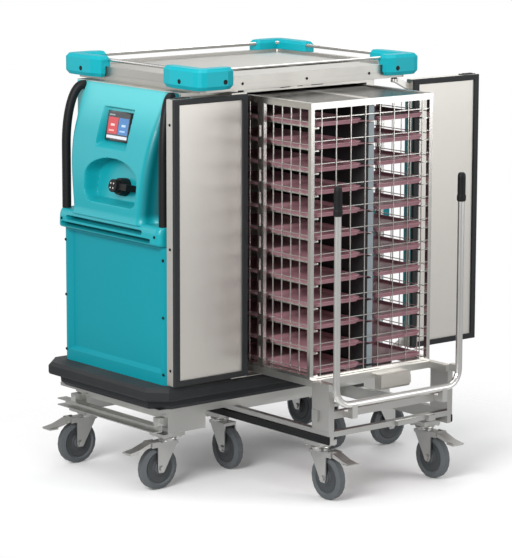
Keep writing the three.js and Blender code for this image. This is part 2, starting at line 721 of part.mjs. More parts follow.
function castorFork(withPedal) {
  const [inner, outer] = cheek;
  const side = [[-30, crownTop], [castorTrail - 17, wheelRadius - 4], [castorTrail - 10, wheelRadius - 15],
    [castorTrail + 10, wheelRadius - 15], [castorTrail + 17, wheelRadius - 4], [62, crownTop]];
  const pieces = [
    box(-30, 62, -outer, outer, crownBottom, crownTop),
    rod('z', 0, 0, crownTop - 1, castorHeight - fit, 32, 20),
    prism('y', side, inner, outer),
    prism('y', side, -outer, -inner),
    rod('y', castorTrail, wheelRadius, -outer - 1, outer + 1, axleDiameter / 2, 16),
    rod('y', castorTrail, wheelRadius, outer - 1, outer + 7, 11, 6),
    rod('y', castorTrail, wheelRadius, -outer - 7, -outer + 1, 11, 6),
  ];
  if (withPedal) {
    const [x, z] = pedalPivot;
    pieces.push(box(50, x + 10, inner, outer, z - 11, z + 9), box(50, x + 10, -outer, -inner, z - 11, z + 9));
    pieces.push(rod('y', x, z, -outer, outer, 4, 12));
  }
  return joined(...pieces);
}

function castorWheel() {
  const hub = axleDiameter / 2 + fit;
  const half = wheelWidth / 2;
  const tread = wheelRadius;
  const profile = [[hub, -half - 2], [22, -half - 2], [24, -13], [57, -13], [64, -half], [tread, -12],
    [tread, 12], [64, half], [57, 13], [24, 13], [22, half + 2], [hub, half + 2], [hub, -half - 2]];
  const ring = new THREE.LatheGeometry(profile.map(([r, y]) => new THREE.Vector2(r, y)), 20);
  return joined(ring.translate(castorTrail, 0, wheelRadius));
}

function castorPedal() {
  const [x, z] = pedalPivot;
  const half = cheek[0] - 0.6;
  const arm = prism('y', [[x, z - 8], [x + 20, z - 10], [pedalReach - 40, z - 20], [pedalReach, z - 26],
    [pedalReach, z - 18], [pedalReach - 40, z - 11], [x + 16, z + 7], [x, z + 8]], -half, half);
  const pad = box(pedalReach - 36, pedalReach, -27, 27, z - 25, z - 19);
  const hub = rod('y', x, z, -half, half, 9, 16);
  return cutBy(joined(arm, pad, hub), rod('y', x, z, -half - 1, half + 1, 4 + fit, 12));
}

// stands a castor piece at a swivel axis, trailing at the given angle from +X
const placeCastor = (piece, [x, y, trail]) =>
  piece.rotateZ(THREE.MathUtils.degToRad(trail)).translate(x, y, 0);

const trolleyCastorX = [openingCentre - 255, openingCentre + 255];
const trolleyCastorY = [-405, 181];
const castors = {
  cart_castor_front_left: [castorX[0], castorY[0], 180, true],
  cart_castor_rear_left: [castorX[0], castorY[1], 180, true],
  cart_castor_front_right: [castorX[1], castorY[0], 0, false],
  cart_castor_rear_right: [castorX[1], castorY[1], -90, false],
  trolley_castor_front_left: [trolleyCastorX[0], trolleyCastorY[0], -90, true],
  trolley_castor_front_right: [trolleyCastorX[1], trolleyCastorY[0], -90, true],
  trolley_castor_rear_left: [trolleyCastorX[0], trolleyCastorY[1], -90, false],
  trolley_castor_rear_right: [trolleyCastorX[1], trolleyCastorY[1], -90, false],
};

// ---------- docking trolley ----------
const overCentre = (x) => 2 * openingCentre - x;
const pair = (x0, x1, ...rest) => [box(x0, x1, ...rest), box(overCentre(x1), overCentre(x0), ...rest)];
const barDepth = 24;
const barHeights = [[241, 261], [307, 334]];
const bufferWidth = 10;

const ledge = trolleyRailHeight / 2 + 8;     // height of the set-back lower part of a rail

function trolleyFrame() {
  const pad = (x, width, z, height) => box(x, x + width, gantryFront - 14, gantryFront + 1, z, z + height);
  const [barBottom, barTop] = barHeights[0];
  const rearY = trolleyCastorY[1];
  const pieces = [
    ...pair(trolleyLeft, trolleyLeft + trolleyRailWidth, gantryFront, trolleyBack, trolleyBottom + ledge,
      trolleyRailTop),
    ...pair(trolleyLeft + railSetback, trolleyLeft + trolleyRailWidth, gantryFront, trolleyBack, trolleyBottom,
      trolleyBottom + ledge + 1),
    box(trolleyLeft + railSetback, trolleyRight - railSetback, gantryFront, gantryFront + barDepth, barBottom, barTop),
    box(trolleyLeft + 8, trolleyRight - 8, rearY - 20, rearY + 20, trolleyBottom - 1, trolleyBottom + 16),
  ];
  pieces.push(pad(openingCentre + 20, 96, barBottom + 1, 16));
  pieces.push(pad(openingCentre + 170, 34, barBottom - 4, 22));
  for (const y of trolleyCastorY) {
    const inner = trolleyCastorX[0] + castorPlate;
    pieces.push(...pair(trolleyLeft + railSetback, inner, y - castorPlate, y + castorPlate, castorHeight,
      trolleyBottom + 1));
  }
  return joined(...pieces);
}

function trolleyBuffer(side) {
  const outer = openingCentre + side * (trolleyWidth / 2 - railSetback + fit);
  const [x0, x1] = side < 0 ? [outer - bufferWidth, outer] : [outer, outer + bufferWidth];
  const outline = roundedRect(x0, x1, trolleyBottom + 2, trolleyBottom + ledge - 2, 3, 1);
  return prism('y', outline, gantryFront + 2, trolleyBack - 4);
}

function trolleyGantry() {
  const postTop = deckTop - 3;
  const bottom = trolleyRailTop + fit;
  const [barBottom, barTop] = barHeights[1];
  const lip = deckLeft - fit - trolleyLeft;
  return joined(
    ...pair(trolleyLeft, trolleyLeft + postThickness, gantryFront, gantryBack, bottom, deckBottom - fit),
    ...pair(trolleyLeft, trolleyLeft + lip, gantryFront, gantryBack, deckBottom - 1, postTop),
    ...pair(trolleyLeft - 8, trolleyLeft + 1, gantryBack - 40, gantryBack - 8, bottom + 30, bottom + 70),
    box(trolleyLeft + 1, trolleyRight - 1, gantryFront, gantryFront + barDepth, barBottom, barTop));
}

const deckLeft = trolleyLeft + 9;
const deckBack = -8;

function trolleyDeck() {
  return joined(
    ...pair(deckLeft, deckLeft + deckRail, gantryFront, deckBack, deckBottom, deckTop),
    box(deckLeft + 1, overCentre(deckLeft + 1), gantryBack, rackFront, deckBottom, deckTop - 1),
    box(deckLeft + 1, overCentre(deckLeft + 1), deckBack - 40, deckBack - 12, deckBottom, deckTop - 2));
}

const handleY = gantryFront - 36;
const handleX = trolleyLeft + 4;

function pushHandle() {
  const r = handleDiameter / 2;
  const [barBottom, barTop] = barHeights[1];
  const [left, right] = [handleX, overCentre(handleX)];
  const bow = tube([[left, handleY, handleTop - 12], [left, handleY, handleRunHeight],
    [right, handleY, handleRunHeight], [right, handleY, handleTop - 12]], handleBend, r, 14, 5);
  const face = gantryFront - fit;
  return joined(bow,
    ...pair(handleX - 6, handleX + 14, handleY, face, handleRunHeight + 50, handleRunHeight + 76),
    ...pair(handleX + 66, handleX + 90, handleY - 12, face, barBottom + 3, barTop - 4),
    ...pair(handleX + 66, handleX + 90, handleY - 12, handleY + 12, barBottom + 3, handleRunHeight));
}

function handleGrip(x) {
  const r = gripDiameter / 2;
  const z0 = handleTop - gripLength;
  const profile = [[0, z0], [r - 3, z0], [r, z0 + 5], [r, z0 + 20], [r - 2, z0 + 24], [r - 2, handleTop - 14],
    [r - 4, handleTop - 4], [r - 9, handleTop], [0, handleTop]];
  const body = new THREE.LatheGeometry(profile.map(([u, v]) => new THREE.Vector2(u, v)), 20);
  const bore = rod('z', x, handleY, z0 - 1, handleTop - 11, handleDiameter / 2 + fit, 20);
  return cutBy(joined(body.rotateX(Math.PI / 2).translate(x, handleY, 0)), bore);
}

const lockLength = 142;
const lockDrop = 44;             // below the deck
const lockDepth = 36;

// the latch that holds the trolley to the cart, with its release under the deck beam
function dockingLock() {
  const [x0, x1] = [openingCentre, openingCentre + lockLength];
  const y1 = gantryBack - fit;
  const z0 = deckBottom - lockDrop;
  const top = deckBottom + 12;
  const front = y1 - lockDepth;
  const side = [[front + 2, z0 + 8], [front + 8, z0], [y1, z0], [y1, top], [front, top]];
  const boltX = x0 + lockLength / 3;
  const boltZ = bodyBottom + 9;
  return joined(prism('x', side, x0, x1),
    box(x1 - 1, x1 + 8, y1 - 30, y1 - 6, z0 + 10, z0 + 40),
    rod('y', boltX, boltZ, y1 - 1, -2, 6, 12),
    box(boltX - 12, boltX + 12, -16, -4, boltZ - 5, boltZ + 7));
}

// ---------- tray rack ----------
const rungRadius = 3;
const bottomRail = 12;
const topBeam = 23;
const trayZ = Array.from({ length: levels }, (_, i) => rackBottom + bottomRail + i * levelPitch);
const frontTrays = rackFront + 12;
const rearTrays = frontTrays + trayDepth + 4;
const postFront = [rackFront, rackFront + postWidth];
const postRear = [rackBack - postWidth, rackBack];
const ladder = [(rackFront + rackBack - ladderWidth) / 2, (rackFront + rackBack + ladderWidth) / 2];
const railTop = rackBottom + bottomRail - fit;
const beamBottomZ = rackTop - topBeam;

function rackFrame() {
  const rungX = rackLeft + 40;
  const r = rungRadius;
  const pieces = [
    ...pair(rackLeft, rackLeft + postWidth, ...postFront, rackBottom, rackTop),
    ...pair(rackLeft, rackLeft + postWidth, ...postRear, rackBottom, rackTop),
    ...pair(rackLeft, rackLeft + 20, rackFront + 1, rackBack - 1, rackBottom, railTop),
    ...pair(rackLeft, rackLeft + 22, rackFront + 1, rackBack - 1, beamBottomZ, rackTop),
    box(rackLeft + 1, rackRight - 1, rackFront, rackFront + 11, rackBottom, railTop - 4),
    box(rackLeft + 1, rackRight - 1, rackBack - 11, rackBack, rackBottom, railTop - 4),
    box(rackLeft + 1, rackRight - 1, rackFront, rackFront + 11, beamBottomZ, rackTop),
    box(rackLeft + 1, rackRight - 1, rackBack - 11, rackBack, beamBottomZ, rackTop),
    box(rackLeft + 2, rackRight - 2, rackFront + 2, rackBack - 2, rackTop - 6, rackTop - 3),
  ];
  const [low, high] = [railTop - 1, beamBottomZ + 1];
  const [y0, y1] = ladder;
  const upright = box(rackLeft, rackLeft + 5, y0, y1, low, high);
  const holes = trayZ.slice(0, levels - 1).map((z) => box(rackLeft - 1, rackLeft + 6, y0 + 9, y1 - 9, z + 24, z + 66));
  const flange = (from) => box(rackLeft, rackLeft + 14, from, from + 3, low, high);
  const half = joined(cutBy(upright, ...holes), flange(y0), flange(y1 - 3));
  const other = toGeometry(toSolid(half).mirror([1, 0, 0]).translate([2 * openingCentre, 0, 0]));
  pieces.push(half, other);
  for (const z of trayZ) {
    const middle = z - fit - rungRadius;
    for (const x of [rungX, overCentre(rungX)]) {
      pieces.push(box(x - r, x + r, postFront[1] - 8, postRear[0] + 8, middle - r, middle + r));
    }
    for (const [from, to] of [postFront, postRear]) {
      const y = (from + to) / 2;
      pieces.push(...pair(rackLeft + postWidth - 1, rungX + 1, y - 3, y + 3, middle - 2, middle + 2));
    }
  }
  return joined(...pieces, ...rackWires());
}

// wires welded into the frame, upright and level ones in neighbouring layers
function rackWires() {
  const wires = [];
  const low = railTop - 5;
  const high = beamBottomZ + 1;
  const upright = rackLeft + 3;
  const level = upright + wire + fit;
  for (const [y0, y1] of [[postFront[1], ladder[0]], [ladder[1], postRear[0]]]) {
    for (let i = 1; i <= wiresPerBay; i += 1) {
      const y = y0 + (y1 - y0) * i / (wiresPerBay + 1);
      wires.push(...pair(upright, upright + wire, y - wire / 2, y + wire / 2, low, high));
    }
    for (const z of trayZ) wires.push(...pair(level, level + wire, y0 - 2, y1 + 2, z + 18, z + 18 + wire));
  }
  const [x0, x1] = [rackLeft + postWidth, rackRight - postWidth];
  const front = rackFront + 0.5;
  for (let i = 0; i < frontWires; i += 1) {
    const x = x0 + (x1 - x0) * (i + 0.5) / frontWires;
    wires.push(box(x - wire / 2, x + wire / 2, front, front + wire, low, high));
  }
  const behind = front + wire + fit;
  for (const z of trayZ) wires.push(box(x0 - 2, x1 + 2, behind, behind + wire, z + 30, z + 30 + wire));
  return wires;
}

function rackDivider() {
  const half = dividerThickness / 2;
  const y0 = frontTrays - 3;
  const y1 = rackBack - 2;
  const [x0, x1] = [openingCentre - half, openingCentre + half];
  const slots = trayZ.map((z) => box(x0 - 1, x1 + 1, y0 - 1, y1 - 6, z - 1, z + 8));
  return cutBy(box(x0, x1, y0, y1, railTop - 4 + fit, beamBottomZ - fit), ...slots);
}

// one tray: two shallow pans joined by the low strip the divider stands over
function tray(y0, z) {
  const x0 = openingCentre - trayLength / 2;
  const pan = (a, b) => {
    const y1 = y0 + trayDepth;
    const ring = (inset, height) => {
      const outline = roundedRect(a + inset, b - inset, y0 + inset, y1 - inset, trayCorner - inset / 2, 1);
      return outline.map(([x, y]) => [x, y, z + height]);
    };
    return cutBy(loft([ring(9, 0), ring(0, trayHeight)]),
      loft([ring(14, trayFloor), ring(6, trayHeight + 0.5)]));
  };
  const mid = [openingCentre - trayBridge / 2, openingCentre + trayBridge / 2];
  return joined(pan(x0, mid[0]), pan(mid[1], x0 + trayLength),
    box(mid[0] - 12, mid[1] + 12, y0 + 20, y0 + trayDepth - 20, z, z + trayFloor + 2));
}

// a full set of trays, with two slim ties at the middle uprights that keep it one piece
function traySet(y0, tieY) {
  const x = openingCentre - trayLength / 2 + 20;
  const ties = pair(x, x + 8, tieY, tieY + 7, trayZ[0] + 1, trayZ[levels - 1] + 1);
  return joined(...trayZ.map((z) => tray(y0, z)), ...ties);
}

// ---------- assembly ----------
add('base_bumper', baseBumper(), charcoal);
add('subframe', subframe(), steel);
add('body_shell', bodyShell(), steel);
add('lower_housing', lowerHousing(true), teal);
add('upper_cover', upperCover(true), teal);
add('touch_screen', touchScreen(), black);
add('power_socket', powerSocket(), black);
add('push_bow_left', pushBow(-1), black);
add('push_bow_right', pushBow(1), black);
add('far_housing', farHousing(), teal);
add('cooling_unit', coolingUnit(), black);
add('fan_rotor', fanRotor(), insulation);
add('roof_pan', roofPan(), steel);
add('door_header', doorHeader(), charcoal);
add('floor_pan', floorPan(), brightSteel);
add('gallery_rail', galleryRail(), brightSteel);
add('corner_bumper_front_left', placeCorner(0, roofLeft, roofFront), brightTeal);
add('corner_bumper_front_right', placeCorner(1, roofRight, roofFront), brightTeal);
add('corner_bumper_rear_right', placeCorner(2, roofRight, roofBack), brightTeal);
add('corner_bumper_rear_left', placeCorner(3, roofLeft, roofBack), brightTeal);
add('door_left', nearDoorLeaf(), steel);
add('door_left_seal', doorSeal(nearDoor), sealGrey);
add('door_left_latch', doorCatch(nearDoor, -1), charcoal);
add('door_right', doorLeaf(farDoor), steel);
add('door_right_seal', doorSeal(farDoor), sealGrey);
add('door_right_cranks', farCranks(), brightSteel);
add('door_right_latch', doorCatch(farDoor, 1), charcoal);
add('trolley_frame', trolleyFrame(), steel);
add('trolley_buffer_left', trolleyBuffer(-1), black);
add('trolley_buffer_right', trolleyBuffer(1), black);
add('trolley_gantry', trolleyGantry(), steel);
add('trolley_deck', trolleyDeck(), brightSteel);
add('push_handle', pushHandle(), steel);
add('handle_grip_left', handleGrip(handleX), black);
add('handle_grip_right', handleGrip(overCentre(handleX)), black);
add('docking_lock', dockingLock(), charcoal);
add('rack_frame', rackFrame(), brightSteel);
add('rack_divider', rackDivider(), insulation);
add('trays_front', traySet(frontTrays, frontTrays + trayDepth - 13), pink);
add('trays_rear', traySet(rearTrays, rearTrays + 6), pink);
for (const [name, [x, y, trail, braked]] of Object.entries(castors)) {
  const place = [x, y, trail];
  add(`${name}_fork`, placeCastor(castorFork(braked), place), brightSteel);
  add(`${name}_wheel`, placeCastor(castorWheel(), place), rubberGrey);
  if (braked) add(`${name}_pedal`, placeCastor(castorPedal(), place), black);
}

const whole = new THREE.Box3().setFromObject(assembly);
const footprint = whole.getCenter(new THREE.Vector3());
for (const mesh of assembly.children) mesh.geometry.translate(-footprint.x, -footprint.y, 0);

export default assembly;
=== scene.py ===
import json
from math import cos, pi, radians, sin, tan

import bpy
import numpy as np
from mathutils import Matrix, Vector

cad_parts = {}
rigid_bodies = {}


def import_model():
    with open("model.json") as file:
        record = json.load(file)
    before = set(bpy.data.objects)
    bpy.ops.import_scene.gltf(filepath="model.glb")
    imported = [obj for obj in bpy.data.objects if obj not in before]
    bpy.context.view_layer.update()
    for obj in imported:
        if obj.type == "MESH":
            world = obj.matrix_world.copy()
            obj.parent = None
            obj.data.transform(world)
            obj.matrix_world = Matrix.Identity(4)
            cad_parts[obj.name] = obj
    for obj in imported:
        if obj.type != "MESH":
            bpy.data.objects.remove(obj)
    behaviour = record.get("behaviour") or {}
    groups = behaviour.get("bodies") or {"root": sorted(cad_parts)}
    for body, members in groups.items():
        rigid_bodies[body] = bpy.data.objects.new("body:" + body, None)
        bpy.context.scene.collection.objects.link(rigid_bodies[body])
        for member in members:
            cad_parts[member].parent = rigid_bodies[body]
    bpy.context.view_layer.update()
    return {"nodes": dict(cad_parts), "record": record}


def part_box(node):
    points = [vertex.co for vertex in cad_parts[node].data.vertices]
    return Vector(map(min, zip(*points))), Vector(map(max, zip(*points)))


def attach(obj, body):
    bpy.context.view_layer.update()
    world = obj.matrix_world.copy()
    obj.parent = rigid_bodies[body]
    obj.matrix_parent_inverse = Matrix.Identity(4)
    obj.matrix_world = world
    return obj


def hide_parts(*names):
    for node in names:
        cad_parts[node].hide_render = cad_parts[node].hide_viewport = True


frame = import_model()
print("frame loaded")

# the cart's own corner: end wall, door face, floor
shellLow = Vector(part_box("body_shell")[0])
cartCorner = Vector((shellLow.x, shellLow.y, 0))


def cartPoint(x, y, z):
    # millimetres from the cart's corner to metres in the row frame
    return cartCorner + Vector((x, y, z)) / 1000


def newGroup(name, inputs, outputs):
    group = bpy.data.node_groups.new(name, "ShaderNodeTree")
    for label, kind, value in inputs:
        socket = group.interface.new_socket(label, in_out="INPUT", socket_type=kind)
        socket.default_value = value
    for label, kind in outputs:
        group.interface.new_socket(label, in_out="OUTPUT", socket_type=kind)
    ends = group.nodes.new("NodeGroupInput"), group.nodes.new("NodeGroupOutput")
    return group, group.nodes, group.links, *ends


def mathNode(nodes, links, operation, a, b=None):
    node = nodes.new("ShaderNodeMath")
    node.operation = operation
    for socket, value in zip(node.inputs, (a, b)):
        if value is None:
            continue
        if isinstance(value, (int, float)):
            socket.default_value = value
        else:
            links.new(value, socket)
    return node.outputs[0]


def mixColor(nodes, links, factor, a, b, blend="MIX"):
    node = nodes.new("ShaderNodeMix")
    node.data_type = "RGBA"
    node.blend_type = blend
    for socket, value in zip((node.inputs[0], node.inputs[6], node.inputs[7]), (factor, a, b)):
        if isinstance(value, (int, float, tuple)):
            socket.default_value = value
        else:
            links.new(value, socket)
    return node.outputs[2]


def noiseNode(nodes, links, vector, scale, detail=2.0, rough=0.5):
    node = nodes.new("ShaderNodeTexNoise")
    node.inputs["Detail"].default_value = detail
    node.inputs["Roughness"].default_value = rough
    if isinstance(scale, (int, float)):
        node.inputs["Scale"].default_value = scale
    else:
        links.new(scale, node.inputs["Scale"])
    links.new(vector, node.inputs["Vector"])
    return node.outputs["Fac"]


def steelGroup():
    look = {"clouds": 5.5, "specks": 60.0, "speckDepth": 0.03, "cloudMiddle": 0.45, "shade": (0.94, 0.6),
            "bumpDepth": 0.0004, "bumpStrength": 0.25}
    group, nodes, links, start, end = newGroup("brushedMetal", [
        ("Color", "NodeSocketColor", (0.6, 0.6, 0.58, 1)), ("Roughness", "NodeSocketFloat", 0.35),
        ("Stretch", "NodeSocketVector", (20, 20, 900)), ("Grain", "NodeSocketFloat", 0.1),
        ("Smudge", "NodeSocketFloat", 0.2)],
        [("Color", "NodeSocketColor"), ("Roughness", "NodeSocketFloat"), ("Normal", "NodeSocketVector")])
    coords = nodes.new("ShaderNodeTexCoord")
    stretched = nodes.new("ShaderNodeVectorMath")
    stretched.operation = "MULTIPLY"
    links.new(coords.outputs["Object"], stretched.inputs[0])
    links.new(start.outputs["Stretch"], stretched.inputs[1])
    # fine lines along the polish, cloudy hand marks over them
    lines = noiseNode(nodes, links, stretched.outputs[0], 1.0, 3.0, 0.65)
    clouds = noiseNode(nodes, links, coords.outputs["Object"], look["clouds"], 4.0, 0.6)
    specks = noiseNode(nodes, links, coords.outputs["Object"], look["specks"], 2.0, 0.5)
    centred = mathNode(nodes, links, "SUBTRACT", lines, 0.5)
    lift = mathNode(nodes, links, "MULTIPLY", centred, start.outputs["Grain"])
    smear = mathNode(nodes, links, "MULTIPLY",
                     mathNode(nodes, links, "SUBTRACT", clouds, look["cloudMiddle"]), start.outputs["Smudge"])
    total = mathNode(nodes, links, "ADD", mathNode(nodes, links, "ADD", start.outputs["Roughness"], lift), smear)
    dotted = mathNode(nodes, links, "ADD", total, mathNode(nodes, links, "MULTIPLY", specks, look["speckDepth"]))
    links.new(dotted, end.inputs["Roughness"])
    plain, contrast = look["shade"]
    shade = mathNode(nodes, links, "ADD", plain, mathNode(nodes, links, "MULTIPLY", lift, contrast))
    grey = nodes.new("ShaderNodeCombineColor")
    for channel in grey.inputs:
        links.new(shade, channel)
    links.new(mixColor(nodes, links, 1.0, start.outputs["Color"], grey.outputs[0], "MULTIPLY"), end.inputs["Color"])
    bump = nodes.new("ShaderNodeBump")
    bump.inputs["Distance"].default_value = look["bumpDepth"]
    bump.inputs["Strength"].default_value = look["bumpStrength"]
    links.new(lines, bump.inputs["Height"])
    links.new(bump.outputs[0], end.inputs["Normal"])
    return group


def plasticGroup():
    look = {"clouds": 4.0, "pale": (0.75, 0.78, 0.78, 1), "dust": (0.55, 0.53, 0.5, 1), "shift": 0.14,
            "bumpDepth": 0.0003}
    group, nodes, links, start, end = newGroup("mouldedPlastic", [
        ("Color", "NodeSocketColor", (0.1, 0.5, 0.5, 1)), ("Roughness", "NodeSocketFloat", 0.45),
        ("Grain size", "NodeSocketFloat", 900.0), ("Grain", "NodeSocketFloat", 0.2),
        ("Dust", "NodeSocketFloat", 0.08), ("Fade", "NodeSocketFloat", 0.08)],
        [("Color", "NodeSocketColor"), ("Roughness", "NodeSocketFloat"), ("Normal", "NodeSocketVector")])
    coords = nodes.new("ShaderNodeTexCoord")
    grain = noiseNode(nodes, links, coords.outputs["Object"], start.outputs["Grain size"], 2.0, 0.6)
    clouds = noiseNode(nodes, links, coords.outputs["Object"], look["clouds"], 3.0, 0.5)
    facing = nodes.new("ShaderNodeNewGeometry")
    split = nodes.new("ShaderNodeSeparateXYZ")
    links.new(facing.outputs["Normal"], split.inputs[0])
    # dust lies on what faces up
    upward = mathNode(nodes, links, "POWER", mathNode(nodes, links, "MAXIMUM", split.outputs["Z"], 0.0), 3.0)
    dust = mathNode(nodes, links, "MULTIPLY", mathNode(nodes, links, "MULTIPLY", upward, clouds),
                    start.outputs["Dust"])
    fade = mathNode(nodes, links, "MULTIPLY", clouds, start.outputs["Fade"])
    paler = mixColor(nodes, links, fade, start.outputs["Color"], look["pale"])
    links.new(mixColor(nodes, links, dust, paler, look["dust"]), end.inputs["Color"])
    shift = mathNode(nodes, links, "MULTIPLY", mathNode(nodes, links, "SUBTRACT", clouds, 0.5), look["shift"])
    links.new(mathNode(nodes, links, "ADD", mathNode(nodes, links, "ADD", start.outputs["Roughness"], shift), dust),
              end.inputs["Roughness"])
    bump = nodes.new("ShaderNodeBump")
    bump.inputs["Distance"].default_value = look["bumpDepth"]
    links.new(start.outputs["Grain"], bump.inputs["Strength"])
    links.new(grain, bump.inputs["Height"])
    links.new(bump.outputs[0], end.inputs["Normal"])
    return group


steelNodes = steelGroup()
plasticNodes = plasticGroup()


def linear(hexColor):
    # display hex to linear colour
    values = [int(hexColor[i:i + 2], 16) / 255 for i in (1, 3, 5)]
    return tuple(v / 12.92 if v <= 0.04045 else ((v + 0.055) / 1.055) ** 2.4 for v in values) + (1.0,)


def makeMaterial(name, group, settings, principled):
    material = bpy.data.materials.new(name)
    material.use_nodes = True
    nodes, links = material.node_tree.nodes, material.node_tree.links
    shader = nodes["Principled BSDF"]
    surface = nodes.new("ShaderNodeGroup")
    surface.node_tree = group
    for label, value in settings.items():
        surface.inputs[label].default_value = value
    links.new(surface.outputs["Color"], shader.inputs["Base Color"])
    links.new(surface.outputs["Roughness"], shader.inputs["Roughness"])
    links.new(surface.outputs["Normal"], shader.inputs["Normal"])
    for label, value in principled.items():
        shader.inputs[label].default_value = value
    return material


def steel(name, color, roughness, stretch, grain=0.1, smudge=0.16):
    return makeMaterial(name, steelNodes, {
        "Color": linear(color), "Roughness": roughness, "Stretch": stretch, "Grain": grain, "Smudge": smudge},
        {"Metallic": 1.0})


def plastic(name, color, roughness, size=900.0, grain=0.15, dust=0.08, fade=0.06, coat=0.0, shine=0.3):
    return makeMaterial(name, plasticNodes, {
        "Color": linear(color), "Roughness": roughness, "Grain size": size, "Grain": grain, "Dust": dust,
        "Fade": fade}, {"Coat Weight": coat, "Coat Roughness": 0.15, "Specular IOR Level": shine})


def dividerMaterial():
    # black faces, pale edge strips towards the front and the back
    look = {"faces": "#1b1d20", "edges": "#8c979c", "turned": 0.6}
    material = plastic("dividerPlastic", look["faces"], 0.5, 900, 0.2)
    nodes, links = material.node_tree.nodes, material.node_tree.links
    facing = nodes.new("ShaderNodeNewGeometry")
    split = nodes.new("ShaderNodeSeparateXYZ")
    links.new(facing.outputs["Normal"], split.inputs[0])
    edge = mathNode(nodes, links, "GREATER_THAN", mathNode(nodes, links, "ABSOLUTE", split.outputs["Y"]),
                    look["turned"])
    shader = nodes["Principled BSDF"]
    under = shader.inputs["Base Color"].links[0].from_socket
    links.new(mixColor(nodes, links, edge, under, linear(look["edges"])), shader.inputs["Base Color"])
    return material


def rangeMask(nodes, links, value, low, high):
    # 0 below low, 1 above high, eased between
    node = nodes.new("ShaderNodeMapRange")
    node.interpolation_type = "SMOOTHSTEP"
    node.inputs["From Min"].default_value = low
    node.inputs["From Max"].default_value = high
    links.new(value, node.inputs["Value"])
    return node.outputs[0]


def objectAxes(nodes, links):
    coords = nodes.new("ShaderNodeTexCoord")
    split = nodes.new("ShaderNodeSeparateXYZ")
    links.new(coords.outputs["Object"], split.inputs[0])
    return split.outputs


def coverMaterial():
    # painted highlight: paler towards the top; painted shade: deeper teal in the scoop beside the door
    # pale is the painted highlight colour, deep the painted shade colour
    look = {"color": "#0099a3", "pale": "#6fd3d6", "deep": "#00474f", "top": (1.26, 1.43), "foot": (114, 0.972),
            "taper": 0.1, "scoop": (-10, 34), "shoulder": (0.975, 1.01), "paleShare": 0.5, "deepShare": 0.85}
    material = plastic("coverPlastic", look["color"], 0.36, 1200, 0.1, 0.03, 0.01, 0.12)
    nodes, links = material.node_tree.nodes, material.node_tree.links
    axes = objectAxes(nodes, links)
    shader = nodes["Principled BSDF"]
    under = shader.inputs["Base Color"].links[0].from_socket
    # painted highlight: the pale colour mixed in towards the top
    high = mathNode(nodes, links, "MULTIPLY", rangeMask(nodes, links, axes["Z"], *look["top"]),
                    look["paleShare"])
    paler = mixColor(nodes, links, high, under, linear(look["pale"]))
    # the ridge runs from the foot towards the door, by the taper for each metre up
    ridge, foot = look["foot"]
    near, far = (cartPoint(0, ridge + y, 0).y + look["taper"] * foot for y in look["scoop"])
    across = mathNode(nodes, links, "ADD", axes["Y"],
                      mathNode(nodes, links, "MULTIPLY", axes["Z"], look["taper"]))
    inward = mathNode(nodes, links, "SUBTRACT", 1.0, rangeMask(nodes, links, across, near, far))
    above = rangeMask(nodes, links, axes["Z"], *look["shoulder"])
    # painted shade: the deep colour mixed in over the scoop, above the shoulder
    shade = mathNode(nodes, links, "MULTIPLY", mathNode(nodes, links, "MULTIPLY", inward, above),
                     look["deepShare"])
    links.new(mixColor(nodes, links, shade, paler, linear(look["deep"])), shader.inputs["Base Color"])
    return material


def rackMaterial():
    # painted shade: the two polished top sheets are coloured darker than the bars around them
    look = {"color": "#dad8d3", "sheet": "#4d4a47", "top": 1.4225, "x": ((306, 557), (593, 844)),
            "y": (-362, 160), "soft": 0.002}
    material = steel("wireSteel", look["color"], 0.22, (90, 90, 90), 0.06)
    nodes, links = material.node_tree.nodes, material.node_tree.links
    axes = objectAxes(nodes, links)

    def between(value, low, high):
        past = rangeMask(nodes, links, value, low, low + look["soft"])
        within = mathNode(nodes, links, "SUBTRACT", 1.0, rangeMask(nodes, links, value, high - look["soft"], high))
        return mathNode(nodes, links, "MULTIPLY", past, within)

    shadedSheets = None
    for x0, x1 in look["x"]:
        span = between(axes["X"], cartPoint(x0, 0, 0).x, cartPoint(x1, 0, 0).x)
        shadedSheets = span if shadedSheets is None else mathNode(nodes, links, "MAXIMUM", shadedSheets, span)
    y0, y1 = (cartPoint(0, y, 0).y for y in look["y"])
    shadedSheets = mathNode(nodes, links, "MULTIPLY", shadedSheets, between(axes["Y"], y0, y1))
    raised = mathNode(nodes, links, "GREATER_THAN", axes["Z"], look["top"])
    shadedSheets = mathNode(nodes, links, "MULTIPLY", shadedSheets, raised)
    shader = nodes["Principled BSDF"]
    under = shader.inputs["Base Color"].links[0].from_socket
    # painted shade: the dark sheet colour laid over the two top sheets
    links.new(mixColor(nodes, links, shadedSheets, under, linear(look["sheet"])), shader.inputs["Base Color"])
    return material


upright = (700, 700, 12)
lengthwise = (12, 700, 700)
acrossways = (700, 12, 700)

